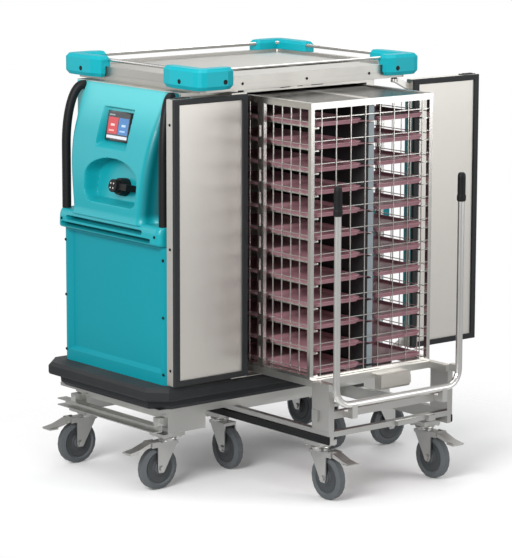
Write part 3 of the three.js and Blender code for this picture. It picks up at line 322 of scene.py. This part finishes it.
looks = {
    "shellSteel": steel("shellSteel", "#d2d0ca", 0.42, upright),
    "roofSteel": steel("roofSteel", "#b8b6b1", 0.44, lengthwise),
    "doorSteel": steel("doorSteel", "#dcd9d3", 0.46, upright, 0.14, 0.1),
    "frameSteel": steel("frameSteel", "#c6c6c3", 0.33, lengthwise),
    "gantrySteel": steel("gantrySteel", "#cccbc8", 0.3, upright),
    "deckSteel": steel("deckSteel", "#d3d2ce", 0.3, acrossways),
    "handleSteel": steel("handleSteel", "#e4e3e0", 0.3, upright, 0.06),
    "wireSteel": rackMaterial(),
    "railSteel": steel("railSteel", "#dbd9d5", 0.2, (90, 90, 90), 0.05),
    "fittingSteel": steel("fittingSteel", "#c9c7c3", 0.28, (120, 120, 120), 0.08),
    "forkSteel": steel("forkSteel", "#bdbdbb", 0.32, (140, 140, 140), 0.1),
    "tealPlastic": plastic("tealPlastic", "#008e9b", 0.42, 1200, 0.1, 0.02, 0.005, 0.04, 0.2),
    "coverPlastic": coverMaterial(),
    "farPlastic": plastic("farPlastic", "#008591", 0.42, 1200, 0.1, 0.02, 0.015),
    "bumperPlastic": plastic("bumperPlastic", "#00a3b0", 0.46, 1400, 0.08, 0.02, 0.005, 0.02, 0.22),
    "basePlastic": plastic("basePlastic", "#212326", 0.55, 500, 0.5, 0.1, 0.018, 0.0, 0.22),
    "blackPlastic": plastic("blackPlastic", "#121314", 0.45, 800, 0.25, 0.02, 0.008, 0.0, 0.16),
    "gripPlastic": plastic("gripPlastic", "#121214", 0.5, 700, 0.5, 0.02, 0.01, 0.0, 0.2),
    "pedalSteel": steel("pedalSteel", "#c6c5c2", 0.36, (120, 120, 120)),
    "lockSteel": steel("lockSteel", "#d6d3cc", 0.42, lengthwise),
    "lockPlastic": plastic("lockPlastic", "#232528", 0.45, 700, 0.3, 0.05, 0.02),
    "machineBlack": plastic("machineBlack", "#1c1d1f", 0.5, 300, 0.3, 0.08, 0.02),
    "treadRubber": plastic("treadRubber", "#4d5154", 0.66, 500, 0.4, 0.12, 0.04),
    "hubPlastic": plastic("hubPlastic", "#34373a", 0.55, 600, 0.3, 0.1, 0.03),
    "sealRubber": plastic("sealRubber", "#1e2022", 0.6, 600, 0.4, 0.05, 0.015),
    "trayFront": plastic("trayFront", "#a8737e", 0.42, 900, 0.12, 0.03, 0.16),
    # painted shade: the rear trays are a touch darker than the front ones, as they stand deeper in the chamber
    "trayRear": plastic("trayRear", "#a06d78", 0.42, 900, 0.12, 0.03, 0.16),
    "dividerPlastic": dividerMaterial(),
    "fanPlastic": plastic("fanPlastic", "#cfcfca", 0.45, 900, 0.2),
    "screenGlass": plastic("screenGlass", "#0d0f12", 0.16, 1500, 0.03, 0.03, 0.01, 0.6),
}

wears = {
    "body_shell": "shellSteel", "roof_pan": "roofSteel", "door_left": "doorSteel", "door_right": "doorSteel",
    "subframe": "frameSteel", "trolley_frame": "frameSteel", "trolley_gantry": "gantrySteel",
    "trolley_deck": "deckSteel", "push_handle": "handleSteel", "rack_frame": "wireSteel",
    "gallery_rail": "railSteel", "floor_pan": "fittingSteel", "door_right_cranks": "fittingSteel",
    "lower_housing": "tealPlastic", "upper_cover": "coverPlastic", "far_housing": "farPlastic",
    "base_bumper": "basePlastic", "door_header": "lockPlastic", "door_left_latch": "lockPlastic",
    "door_right_latch": "lockPlastic", "docking_lock": "lockSteel", "power_socket": "blackPlastic",
    "push_bow_left": "gripPlastic", "push_bow_right": "gripPlastic", "cooling_unit": "machineBlack",
    "trolley_buffer_left": "blackPlastic", "trolley_buffer_right": "blackPlastic",
    "handle_grip_left": "gripPlastic", "handle_grip_right": "gripPlastic", "touch_screen": "screenGlass",
    "fan_rotor": "fanPlastic", "rack_divider": "dividerPlastic", "trays_front": "trayFront",
    "trays_rear": "trayRear", "door_left_seal": "sealRubber", "door_right_seal": "sealRubber",
}
endings = {"_fork": "forkSteel", "_wheel": "treadRubber", "_pedal": "pedalSteel"}


def lookFor(node):
    if node in wears:
        return wears[node]
    if node.startswith("corner_bumper"):
        return "bumperPlastic"
    return next(look for ending, look in endings.items() if node.endswith(ending))


def smoothGroup():
    # faces shaded smooth, edges over the angle kept sharp
    group = bpy.data.node_groups.new("smoothByAngle", "GeometryNodeTree")
    group.interface.new_socket("Geometry", in_out="INPUT", socket_type="NodeSocketGeometry")
    angle = group.interface.new_socket("Angle", in_out="INPUT", socket_type="NodeSocketFloat")
    angle.default_value = radians(34)  # edges sharper than this stay hard
    group.interface.new_socket("Geometry", in_out="OUTPUT", socket_type="NodeSocketGeometry")
    nodes, links = group.nodes, group.links
    start, end = nodes.new("NodeGroupInput"), nodes.new("NodeGroupOutput")
    edge = nodes.new("GeometryNodeInputMeshEdgeAngle")
    over = nodes.new("FunctionNodeCompare")
    over.operation = "LESS_EQUAL"
    links.new(edge.outputs["Unsigned Angle"], over.inputs[0])
    links.new(start.outputs["Angle"], over.inputs[1])
    faces, edges = nodes.new("GeometryNodeSetShadeSmooth"), nodes.new("GeometryNodeSetShadeSmooth")
    edges.domain = "EDGE"
    links.new(start.outputs["Geometry"], faces.inputs["Geometry"])
    links.new(faces.outputs[0], edges.inputs["Geometry"])
    links.new(over.outputs[0], edges.inputs["Shade Smooth"])
    links.new(edges.outputs[0], end.inputs[0])
    return group


smoothing = smoothGroup()

# bevel width in millimetres by node, for the pieces with sheet or moulded edges
bevels = {"body_shell": 2.5, "roof_pan": 2, "upper_cover": 3, "lower_housing": 3, "far_housing": 3,
          "base_bumper": 4, "door_left": 1.2, "door_right": 1.2, "subframe": 1.5, "trolley_frame": 1.5,
          "trolley_gantry": 1.5, "trolley_deck": 1.2, "docking_lock": 1.5, "corner": 4}

def roundEdges(piece, width):
    # width in millimetres, two steps round every edge that turns by 40 degrees or more
    bevel = piece.modifiers.new("edge", "BEVEL")
    bevel.width = width / 1000
    bevel.segments = 2
    bevel.limit_method = "ANGLE"
    bevel.angle_limit = radians(40)


for node, piece in frame["nodes"].items():
    for materialSlot in piece.material_slots:
        materialSlot.link = "OBJECT"
        materialSlot.material = looks[lookFor(node)]
    width = bevels.get("corner" if node.startswith("corner") else node)
    if width:
        roundEdges(piece, width)
    piece.modifiers.new("smooth", "NODES").node_group = smoothing
print("solids dressed")


def ringSurface(rings):
    # rings of equal point counts, each point skinned to the next one and to the ring after, one face at each end
    rings = np.asarray(rings, dtype=float)
    layers, count, _ = rings.shape
    here = np.arange(count)
    beyond = np.roll(here, -1)
    band = np.stack([here, beyond, beyond + count, here + count], 1)
    faces = (band + count * np.arange(layers - 1)[:, None, None]).reshape(-1, 4).tolist()
    faces += [here[::-1].tolist(), (here + (layers - 1) * count).tolist()]
    return rings.reshape(-1, 3), faces


def turned(profile, sides):
    # profile of (radius, height) from the foot up, turned about Z: x = r cos a, y = r sin a
    radii, heights = np.array(profile, dtype=float).T[:, :, None]
    angles = np.arange(sides) * 2 * pi / sides
    x, y = radii * np.cos(angles), radii * np.sin(angles)
    return ringSurface(np.stack([x, y, np.broadcast_to(heights, x.shape)], 2))


def slab(low, high):
    x0, y0, z0 = low
    x1, y1, z1 = high
    return ringSurface([[(x0, y0, z), (x1, y0, z), (x1, y1, z), (x0, y1, z)] for z in (z0, z1)])


def roundedOutline(x0, x1, y0, y1, radius, steps):
    points = []
    for cornerX, cornerY, quarter in ((x1 - radius, y1 - radius, 0), (x0 + radius, y1 - radius, 1),
                                      (x0 + radius, y0 + radius, 2), (x1 - radius, y0 + radius, 3)):
        for i in range(steps + 1):
            angle = (quarter + i / steps) * pi / 2
            points.append((cornerX + radius * cos(angle), cornerY + radius * sin(angle)))
    return points


def makePiece(name, shapes, material, body, slotName, edge=0.0):
    # shapes are (vertices, faces) in millimetres from the cart's corner
    vertices, faces, offset = [], [], 0
    for points, polygons in shapes:
        vertices.append(np.asarray(points) / 1000 + np.array(cartCorner))
        faces += [tuple(i + offset for i in polygon) for polygon in polygons]
        offset += len(points)
    mesh = bpy.data.meshes.new(name)
    mesh.from_pydata(np.concatenate(vertices).tolist(), [], faces)
    mesh.validate()
    mesh.materials.append(material)
    piece = bpy.data.objects.new(name, mesh)
    bpy.context.collection.objects.link(piece)
    if edge:
        roundEdges(piece, edge)
    piece.modifiers.new("smooth", "NODES").node_group = smoothing
    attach(piece, body)
    return piece


def copies(shape, sites):
    # one shape stood at several places: each site is (point, direction of its local Z)
    points, polygons = shape
    for place, normal in sites:
        turn = np.array(Vector(normal).to_track_quat("Z", "Y").to_matrix())
        yield points @ turn.T + np.array(place), polygons


def makeScrews():
    look = {"radius": 5.5, "height": 2.2, "socket": 0.5, "sides": 14,
            "roof": (-61.9, 1476, (232, 534, 838)), "shoulder": (-99.8, 936, (30, 610)),
            "panel": (-71.8, (16, 624), (430, 640, 850)), "doorLeft": (-86.9, -47, (457, 900, 1348)),
            "doorRight": (1053.1, -36, (500, 760, 1080, 1340))}
    r, h, socket = look["radius"], look["height"], look["socket"]
    head = turned([(r, -0.2), (r, 0.4 * h), (0.82 * r, h), (socket * r, h), (0.9 * socket * r, 0.3 * h)],
                  look["sides"])
    towardFront, towardEnd = (0, -1, 0), (-1, 0, 0)
    roofY, roofZ, roofX = look["roof"]
    shoulderX, shoulderZ, shoulderY = look["shoulder"]
    panelX, panelY, panelZ = look["panel"]
    cartSites = [((x, roofY, roofZ), towardFront) for x in roofX]
    cartSites += [((shoulderX, y, shoulderZ), towardEnd) for y in shoulderY]
    cartSites += [((panelX, y, z), towardEnd) for y in panelY for z in panelZ]
    makePiece("cartScrews", copies(head, cartSites), looks["blackPlastic"], "cart", "black")
    for name, body, place, material, slotName in (
            ("doorLeftScrews", "door_left", look["doorLeft"], "blackPlastic", "black"),
            ("doorRightScrews", "door_right", look["doorRight"], "fittingSteel", "bright_steel")):
        x, y, heights = place
        makePiece(name, copies(head, [((x, y, z), towardEnd) for z in heights]), looks[material], body, slotName)


def makeBumperPlugs():
    # dark sunk screws on both arms of each corner bumper
    look = {"radius": 9, "inset": 118, "height": 1492, "ends": (4, 1064), "sides": (-102, 742)}
    radius, inset, z = look["radius"], look["inset"], look["height"]
    plug = turned([(radius, -1), (radius, 0.8), (0.8 * radius, 1.2), (0.6 * radius, 0.2)], 18)
    (x0, x1), (y0, y1) = look["ends"], look["sides"]
    sites = []
    for x in (x0 + inset, x1 - inset):
        sites += [((x, y0, z), (0, -1, 0)), ((x, y1, z), (0, 1, 0))]
    for y in (y0 + inset, y1 - inset):
        sites += [((x0, y, z), (-1, 0, 0)), ((x1, y, z), (1, 0, 0))]
    makePiece("bumperPlugs", copies(plug, sites), looks["blackPlastic"], "cart", "black")


# the leaning cover of the control end, in millimetres; the recesses are measured along its face from their middle
cover = {"foot": 972, "top": 1438, "footDepth": 95, "topDepth": 4, "bulge": 28, "middle": 330}
screenRecess = {"height": 1306, "deep": 27, "left": (88, 8), "right": (102, 9), "low": (86, 26), "high": (68, 9)}
plugRecess = {"height": 1108, "deep": 60, "across": -14, "half": 162, "arch": (6, 78), "corner": (-44, 46),
              "foot": 0.72, "wall": 15, "low": (90, 16)}
coverLean = np.arctan((cover["footDepth"] - cover["topDepth"]) / (cover["top"] - cover["foot"]))


def coverDepth(height):
    # how far the leaning face stands out: a straight taper with a sine swell
    t = (height - cover["foot"]) / (cover["top"] - cover["foot"])
    return cover["footDepth"] + (cover["topDepth"] - cover["footDepth"]) * t + cover["bulge"] * np.sin(pi * t)


def coverPoint(x, y, z, height):
    # a point on the leaning face: x into the cover, y across, z up the face, from the face's centre line
    slope = cos(coverLean), sin(coverLean)
    return (-coverDepth(height) + x * slope[0] + z * slope[1], cover["middle"] + y,
            height - x * slope[1] + z * slope[0])


def smoothStep(value):
    held = np.clip(value, 0, 1)
    return held * held * (3 - 2 * held)


def screenMask(y, z):
    # a box with soft lips, the lower one long and sloping: each side is (distance, width of the lip)
    (left, leftLip), (right, rightLip) = screenRecess["left"], screenRecess["right"]
    (low, lowLip), (high, highLip) = screenRecess["low"], screenRecess["high"]
    return (smoothStep((y + left) / leftLip) * smoothStep((right - y) / rightLip)
            * smoothStep((z + low) / lowLip) * smoothStep((high - z) / highLip))


def plugMask(y, z):
    # under an arch of half an ellipse, with rounded lower corners that narrow the foot
    springing, rise = plugRecess["arch"]
    start, drop = plugRecess["corner"]
    low, lip = plugRecess["low"]
    arch = np.sqrt(np.clip(1 - (np.clip(z - springing, 0, None) / rise) ** 2, 0, 1))
    corner = np.sqrt(np.clip(1 - (np.clip(start - z, 0, None) / drop) ** 2, 0, 1))
    width = plugRecess["half"] * arch * (plugRecess["foot"] + (1 - plugRecess["foot"]) * corner)
    return smoothStep((width - np.abs(y - plugRecess["across"])) / plugRecess["wall"]) * smoothStep((z + low) / lip)


def makeCover():
    look = {"rows": 150, "columns": 150, "footLeft": 228, "footRight": 206, "topHalf": 252, "swell": (26, 4),
            "reach": 313, "radius": 30, "flank": 10, "corner": 8, "footFlow": 7, "flowRise": 30, "thinnest": 2.5,
            "seat": 0.3, "swellPower": 1.6, "shift": -5, "low": 966, "high": 1449}
    pockets = ((screenRecess, screenMask), (plugRecess, plugMask))
    rings = []
    for row in range(look["rows"] + 1):
        z = look["low"] + (look["high"] - look["low"]) * row / look["rows"]
        t = min(1, max(0, (z - cover["foot"]) / (cover["top"] - cover["foot"])))
        flow = look["footFlow"] * max(0, 1 - (z - look["low"]) / look["flowRise"]) ** 2
        depth = max(look["thinnest"], coverDepth(max(z, cover["foot"]))) + flow
        halves = [foot + (look["topHalf"] - foot) * t + swell * sin(pi * t ** look["swellPower"]) + flow
                  for foot, swell in zip((look["footLeft"], look["footRight"]), look["swell"])]
        radius = min(look["radius"], 0.6 * depth)
        edges = []
        for half in halves:
            # the flank scoops out to the corner of the body as (1 - s)^3, then a quarter round into the face
            flare = look["reach"] - half
            s = np.arange(look["flank"]) / look["flank"]
            flank = np.stack([half + flare * (1 - s) ** 3, look["seat"] + (depth - radius - look["seat"]) * s], 1)
            a = np.arange(look["corner"] + 1) / look["corner"] * pi / 2
            turn = np.stack([half - radius + radius * np.cos(a), depth - radius + radius * np.sin(a)], 1)
            edges.append(np.concatenate([flank, turn]))
        left, right = edges
        across = np.linspace(halves[0] - radius, radius - halves[1], look["columns"] + 2)[1:-1]
        out = np.full_like(across, depth)
        for recess, mask in pockets:
            height = recess["height"]
            up = (z - height) / cos(coverLean)
            floor = coverDepth(height) - (z - height) * tan(coverLean) - recess["deep"] / cos(coverLean)
            share = mask(across, up)
            out = out * (1 - share) + np.minimum(out, floor) * share
        outline = np.concatenate([left, np.stack([across, out], 1), (right * (-1, 1))[::-1]])
        middle = cover["middle"] + look["shift"]
        rings.append(np.stack([-outline[:, 1], outline[:, 0] + middle, np.full(len(outline), z)], 1))
    return ringSurface(rings)


def makeShoulder():
    look = {"low": 901.5, "high": 972, "rows": 44, "columns": 210, "ends": (0.5, 639.5), "radius": 26,
            "slots": ((110, 580, 943), (58, 612, 918)), "slotRadius": 7, "slotDeep": 46, "slotWall": 2.4, "seat": 0.3,
            "front": ((901, 86), (903, 94), (907, 98.5), (912, 100), (946, 98.5), (955, 96.5), (962, 94), (968, 90),
                      (972, 84))}
    heights, depths = zip(*look["front"])
    rings = []
    for z in np.linspace(look["low"], look["high"], look["rows"]):
        depth = float(np.interp(z, heights, depths))
        y0, y1 = look["ends"]
        a = np.arange(9) / 8 * pi / 2
        r = look["radius"]
        turn = np.stack([r * np.cos(a) - r, depth - r + r * np.sin(a)], 1)
        across = np.linspace(y1 - r, y0 + r, look["columns"] + 2)[1:-1]
        out = np.full_like(across, depth)
        for start, stop, middle in look["slots"]:
            over = np.abs(across - (start + stop) / 2) - (stop - start) / 2 + look["slotRadius"]
            far = np.hypot(np.clip(over, 0, None), z - middle)
            out -= look["slotDeep"] * smoothStep((look["slotRadius"] + 1 - far) / look["slotWall"])
        points = np.concatenate([[(y1, look["seat"])], turn + (y1, 0), np.stack([across, out], 1),
                                 (turn * (-1, 1) + (y0, 0))[::-1], [(y0, look["seat"])]])
        rings.append(np.stack([-points[:, 1], points[:, 0], np.full(len(points), z)], 1))
    return ringSurface(rings)


def sweptTube(path, radius, sides):
    # circles set across a path whose tangent is taken from its neighbours
    path = np.asarray(path, dtype=float)
    tangents = np.gradient(path, axis=0)
    tangents /= np.linalg.norm(tangents, axis=1)[:, None]
    first = np.cross((0, 1, 0), tangents)
    first /= np.linalg.norm(first, axis=1)[:, None]
    second = np.cross(tangents, first)
    angles = (np.arange(sides) * 2 * pi / sides)[:, None]
    return ringSurface(path[:, None] + radius * (np.cos(angles) * first[:, None] + np.sin(angles) * second[:, None]))


def makeBows():
    # a straight lower leg, then a quarter of an ellipse into the body face under the roof
    look = {"foot": -67, "inset": 19, "lean": 30, "top": 1434, "low": 972.3, "rise": 226, "radius": 17,
            "steps": 30, "legSteps": 8, "face": -9, "ends": (-5, -0.3), "halfWidth": 320, "sides": 24}
    foot, face, top, rise = look["foot"], look["face"], look["top"], look["rise"]
    leg = top - rise - look["low"]
    path = [(foot, look["inset"], look["low"] + leg * i / look["legSteps"]) for i in range(look["legSteps"])]
    for i in range(look["steps"] + 1):
        a = i / look["steps"] * pi / 2
        path.append((face + (foot - face) * cos(a), look["inset"] + look["lean"] * (1 - cos(a)),
                     top - rise * (1 - sin(a))))
    path += [(x, look["inset"] + look["lean"], top) for x in look["ends"]]
    half = look["halfWidth"]
    for name, side in (("push_bow_left", -1), ("push_bow_right", 1)):
        placed = [(x, half + side * (half - inset), z) for x, inset, z in path]
        bow = makePiece(name.replace("_", "") + "Shown", [sweptTube(placed, look["radius"], look["sides"])],
                        looks["gripPlastic"], "cart", "black")
        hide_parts(name)


def pictureMaterial():
    # fields and bars in order, each (left, right, low, high, colour) as shares of the picture
    look = {"ground": "#20262b", "glow": 0.1, "roughness": 0.25,
            "patches": ((0.03, 0.485, 0.2, 0.82, "#b8323a"), (0.515, 0.97, 0.2, 0.82, "#356fa8"),
                        (0.03, 0.97, 0.04, 0.15, "#c9ccd2"), (0.16, 0.34, 0.5, 0.58, "#e3b9b8"),
                        (0.66, 0.84, 0.5, 0.58, "#a9c4de"), (0.1, 0.34, 0.3, 0.36, "#e79c97"),
                        (0.6, 0.84, 0.3, 0.36, "#93b3e3"), (0.05, 0.3, 0.88, 0.93, "#8b9298"))}
    material = bpy.data.materials.new("screenPicture")
    material.use_nodes = True
    nodes, links = material.node_tree.nodes, material.node_tree.links
    shader = nodes["Principled BSDF"]
    layer = nodes.new("ShaderNodeUVMap")
    split = nodes.new("ShaderNodeSeparateXYZ")
    links.new(layer.outputs[0], split.inputs[0])
    u, v = split.outputs["X"], split.outputs["Y"]

    def inside(value, low, high):
        over = mathNode(nodes, links, "GREATER_THAN", value, low)
        return mathNode(nodes, links, "MULTIPLY", over, mathNode(nodes, links, "LESS_THAN", value, high))

    def patch(below, u0, u1, v0, v1, color):
        mask = mathNode(nodes, links, "MULTIPLY", inside(u, u0, u1), inside(v, v0, v1))
        return mixColor(nodes, links, mask, below, linear(color))

    shown = linear(look["ground"])
    for field in look["patches"]:
        shown = patch(shown, *field)
    links.new(shown, shader.inputs["Base Color"])
    links.new(shown, shader.inputs["Emission Color"])
    shader.inputs["Emission Strength"].default_value = look["glow"]
    shader.inputs["Roughness"].default_value = look["roughness"]
    return material


def makeScreenPicture():
    # a thin picture on the face of a glass block; depths run into the cover
    look = {"low": (-60, -50), "high": (73, 50), "depth": 17.6, "thickness": 0.3, "glass": (27, 17.8), "rim": 6,
            "edge": 1.5}
    height, depth = screenRecess["height"], look["depth"]
    (y0, z0), (y1, z1) = look["low"], look["high"]

    def rectangle(x, rim):
        corners = [(y1 + rim, z0 - rim), (y0 - rim, z0 - rim), (y0 - rim, z1 + rim), (y1 + rim, z1 + rim)]
        return [coverPoint(x, y, z, height) for y, z in corners]

    plate = ringSurface([rectangle(depth + look["thickness"], 0), rectangle(depth, 0)])
    piece = makePiece("screenPicture", [plate], pictureMaterial(), "cart", "glass")
    layer = piece.data.uv_layers.new(name="UVMap")
    block = ringSurface([rectangle(x, look["rim"]) for x in look["glass"]])
    screen = makePiece("touchscreenShown", [block], looks["screenGlass"], "cart", "glass", look["edge"])
    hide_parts("touch_screen")
    flat = [(0, 0), (1, 0), (1, 1), (0, 1)]
    layer.data.foreach_set("uv", np.array([flat[loop.vertex_index % 4] for loop in piece.data.loops]).ravel())


def makeInletPins():
    # four pins on a circle, their places measured on the leaning face from the middle of its recess
    look = {"y": -42, "z": -14, "radius": 12, "pin": 3.2, "count": 4, "sides": 12, "depths": (0, -6)}
    around = np.arange(look["sides"]) * 2 * pi / look["sides"]
    shapes = []
    for i in range(look["count"]):
        angle = 2 * pi * (i + 0.5) / look["count"]
        pinY, pinZ = look["y"] + look["radius"] * cos(angle), look["z"] + look["radius"] * sin(angle)
        circle = [(pinY + look["pin"] * cos(a), pinZ + look["pin"] * sin(a)) for a in around]
        shapes.append(ringSurface([[coverPoint(x, y, z, plugRecess["height"]) for y, z in circle]
                                   for x in look["depths"]]))
    makePiece("inletPins", shapes, looks["fittingSteel"], "cart", "bright_steel")


def makeWheelDetails():
    # a ringed disc on each side of the wheel, in (radius, height off the wheel's side)
    look = {"side": 13.2, "profile": ((56, -0.6), (56, 1.0), (52, 2.2), (48, 0.8), (32, 0.8), (30, 3.0), (24, 4.2),
                                      (23, 0.5))}
    disc = turned(look["profile"], 36)
    for joint in frame["record"]["behaviour"]["joints"]:
        if not joint["name"].endswith("_roll"):
            continue
        centre = (Vector(joint["pos_m"]) - cartCorner) * 1000
        axis = Vector(joint["axis"]).normalized()
        sites = [(centre + axis * side * look["side"], axis * side) for side in (-1, 1)]
        body = joint["child"]
        makePiece(body.replace("_wheel", "") + "HubDiscs", copies(disc, sites), looks["hubPlastic"], body,
                  "tyre_grey")


def makeSwivelRings():
    # a raceway ring under each swivel plate, and four bolt heads under the plate's corners
    look = {"ring": ((29, 0), (35, 0.5), (37, 3), (36, 6), (31, 8.2)), "ringFoot": 184.5,
            "bolt": ((7, 0), (7, 4), (6, 5)), "boltTop": 195.2, "boltX": (-36, 36), "boltY": (-32, 32)}
    ring, plateBolt = turned(look["ring"], 28), turned(look["bolt"], 6)
    bolts = {"cart": [], "trolley": []}
    for joint in frame["record"]["behaviour"]["joints"]:
        if not joint["name"].endswith("_swivel"):
            continue
        centre = (Vector(joint["pos_m"]) - cartCorner) * 1000
        site = Vector((centre.x, centre.y, look["ringFoot"]))
        makePiece(joint["child"] + "Ring", copies(ring, [(site, (0, 0, 1))]), looks["fittingSteel"],
                  joint["child"], "bright_steel")
        bolts[joint["parent"]] += [((centre.x + x, centre.y + y, look["boltTop"]), (0, 0, -1))
                                   for x in look["boltX"] for y in look["boltY"]]
    for body, sites in bolts.items():
        makePiece(body + "PlateBolts", copies(plateBolt, sites), looks["fittingSteel"], body, "bright_steel")


def makeTrays():
    # each tray is two rimmed pans joined by a bridge under the divider
    look = {"middle": 575, "length": 530, "depth": 272, "bridge": 70, "height": 16, "first": 445.6, "pitch": 81.5,
            "levels": 12, "corner": 22, "steps": 5, "bridgeLap": 8, "bridgeInset": 24, "bridgeHeights": (0.4, 6),
            "sets": (("trays_front", -374, "trayFront"), ("trays_rear", -98, "trayRear"))}
    middle, half, gap, top = look["middle"], look["length"] / 2, look["bridge"] / 2, look["height"]
    halves = ((middle - half, middle - gap), (middle + gap, middle + half))
    # (inset, height) from the foot over the lip and down to the pan floor
    section = ((9, 0), (4.5, 0.6 * top), (1.2, top - 3), (0, top - 2.2), (0.2, top - 0.6), (1.4, top), (4, top),
               (5, top - 0.8), (8, 0.5 * top), (12.5, 4.4), (15, 4))
    for name, y0, material in look["sets"]:
        y1 = y0 + look["depth"]
        shapes = []
        for level in range(look["levels"]):
            z0 = look["first"] + level * look["pitch"]
            for a, b in halves:
                rings = []
                for inset, height in section:
                    outline = roundedOutline(a + inset, b - inset, y0 + inset, y1 - inset,
                                             look["corner"] - inset / 2, look["steps"])
                    rings.append([(x, y, z0 + height) for x, y in outline])
                shapes.append(ringSurface(rings))
            low, high = look["bridgeHeights"]
            shapes.append(slab((middle - gap - look["bridgeLap"], y0 + look["bridgeInset"], z0 + low),
                               (middle + gap + look["bridgeLap"], y1 - look["bridgeInset"], z0 + high)))
        trays = makePiece(name.replace("_", "") + "Shown", shapes, looks[material], "rack", "pink")
        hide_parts(name)


coverShown = makePiece("uppercoverShown", [makeCover(), makeShoulder()], looks["coverPlastic"], "cart", "teal")
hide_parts("upper_cover")
makeBows()
makeScrews()
makeBumperPlugs()
makeScreenPicture()
makeInletPins()
makeWheelDetails()
makeSwivelRings()
makeTrays()
print("added pieces made")


def makeFloor():
    # white near the cart, fading to nothing so that the white world takes over
    look = {"half": 6.0, "height": -0.0005, "white": 0.97, "roughness": 0.7, "fade": (0.6, 1.7)}
    mesh = bpy.data.meshes.new("floor")
    half, z = look["half"], look["height"]
    mesh.from_pydata([(-half, -half, z), (half, -half, z), (half, half, z), (-half, half, z)], [], [(0, 1, 2, 3)])
    floor = bpy.data.objects.new("floor", mesh)
    bpy.context.collection.objects.link(floor)
    material = bpy.data.materials.new("floorWhite")
    material.use_nodes = True
    nodes, links = material.node_tree.nodes, material.node_tree.links
    shader = nodes["Principled BSDF"]
    shader.inputs["Base Color"].default_value = (look["white"],) * 3 + (1,)
    shader.inputs["Roughness"].default_value = look["roughness"]
    coords = nodes.new("ShaderNodeTexCoord")
    length = nodes.new("ShaderNodeVectorMath")
    length.operation = "LENGTH"
    links.new(coords.outputs["Object"], length.inputs[0])
    fade = nodes.new("ShaderNodeMapRange")
    fade.interpolation_type = "SMOOTHSTEP"
    fade.inputs["From Min"].default_value, fade.inputs["From Max"].default_value = look["fade"]
    links.new(length.outputs["Value"], fade.inputs["Value"])
    clear = nodes.new("ShaderNodeBsdfTransparent")
    mix = nodes.new("ShaderNodeMixShader")
    links.new(fade.outputs[0], mix.inputs[0])
    links.new(shader.outputs[0], mix.inputs[1])
    links.new(clear.outputs[0], mix.inputs[2])
    links.new(mix.outputs[0], nodes["Material Output"].inputs["Surface"])
    mesh.materials.append(material)


def makeLight(name, place, target, size, power):
    data = bpy.data.lights.new(name, "AREA")
    data.shape = "RECTANGLE"
    data.size, data.size_y = size
    data.energy = power
    light = bpy.data.objects.new(name, data)
    bpy.context.collection.objects.link(light)
    light.location = place
    light.rotation_euler = (Vector(target) - Vector(place)).to_track_quat("-Z", "Y").to_euler()


def makeWorld():
    # the camera sees plain white, the cart is lit by a weaker one
    look = {"light": (0.99, 0.99, 0.99, 1), "strength": 0.45, "seen": (1, 1, 1, 1)}
    world = bpy.data.worlds.new("studio")
    bpy.context.scene.world = world
    world.use_nodes = True
    nodes, links = world.node_tree.nodes, world.node_tree.links
    nodes["Background"].inputs["Color"].default_value = look["light"]
    nodes["Background"].inputs["Strength"].default_value = look["strength"]
    seen = nodes.new("ShaderNodeBackground")
    seen.inputs["Color"].default_value = look["seen"]
    path = nodes.new("ShaderNodeLightPath")
    mix = nodes.new("ShaderNodeMixShader")
    links.new(path.outputs["Is Camera Ray"], mix.inputs[0])
    links.new(nodes["Background"].outputs[0], mix.inputs[1])
    links.new(seen.outputs[0], mix.inputs[2])
    links.new(mix.outputs[0], nodes["World Output"].inputs["Surface"])


def makeCamera():
    # fitted to the photo: millimetres from the cart's corner, degrees, lens for a 36 mm sensor
    look = {"place": (-5874, -7697, 2514), "yaw": 51.056, "pitch": 10.165, "roll": 0.152, "lens": 175.52,
            "sensor": 36}
    data = bpy.data.cameras.new("photoCamera")
    data.lens = look["lens"]
    data.sensor_width = look["sensor"]
    camera = bpy.data.objects.new("photoCamera", data)
    bpy.context.collection.objects.link(camera)
    camera.location = cartPoint(*look["place"])
    turn = (Matrix.Rotation(radians(look["yaw"] - 90), 3, "Z") @ Matrix.Rotation(radians(90 - look["pitch"]), 3, "X")
            @ Matrix.Rotation(radians(look["roll"]), 3, "Z"))
    camera.rotation_euler = turn.to_euler()
    bpy.context.scene.camera = camera


# name, place, what it points at, size, power
lights = (("keyLight", (-4.2, -1.9, 2.9), (0, 0, 0.8), (2.2, 2.0), 200),
          ("frontLight", (2.4, -4.0, 2.0), (0, 0, 0.8), (2.8, 2.2), 70),
          ("sideLight", (-2.8, 3.6, 1.9), (0, 0, 0.9), (2.4, 2.2), 22),
          ("topLight", (0, 0, 4.2), (0, 0, 0), (3.0, 3.0), 60),
          ("backLight", (3.0, 3.0, 4.4), (0, 0, 0.9), (2.4, 2.0), 45))

makeFloor()
for light in lights:
    makeLight(*light)
makeWorld()
makeCamera()
bpy.context.scene.view_settings.view_transform = "Standard"
print("stage set")
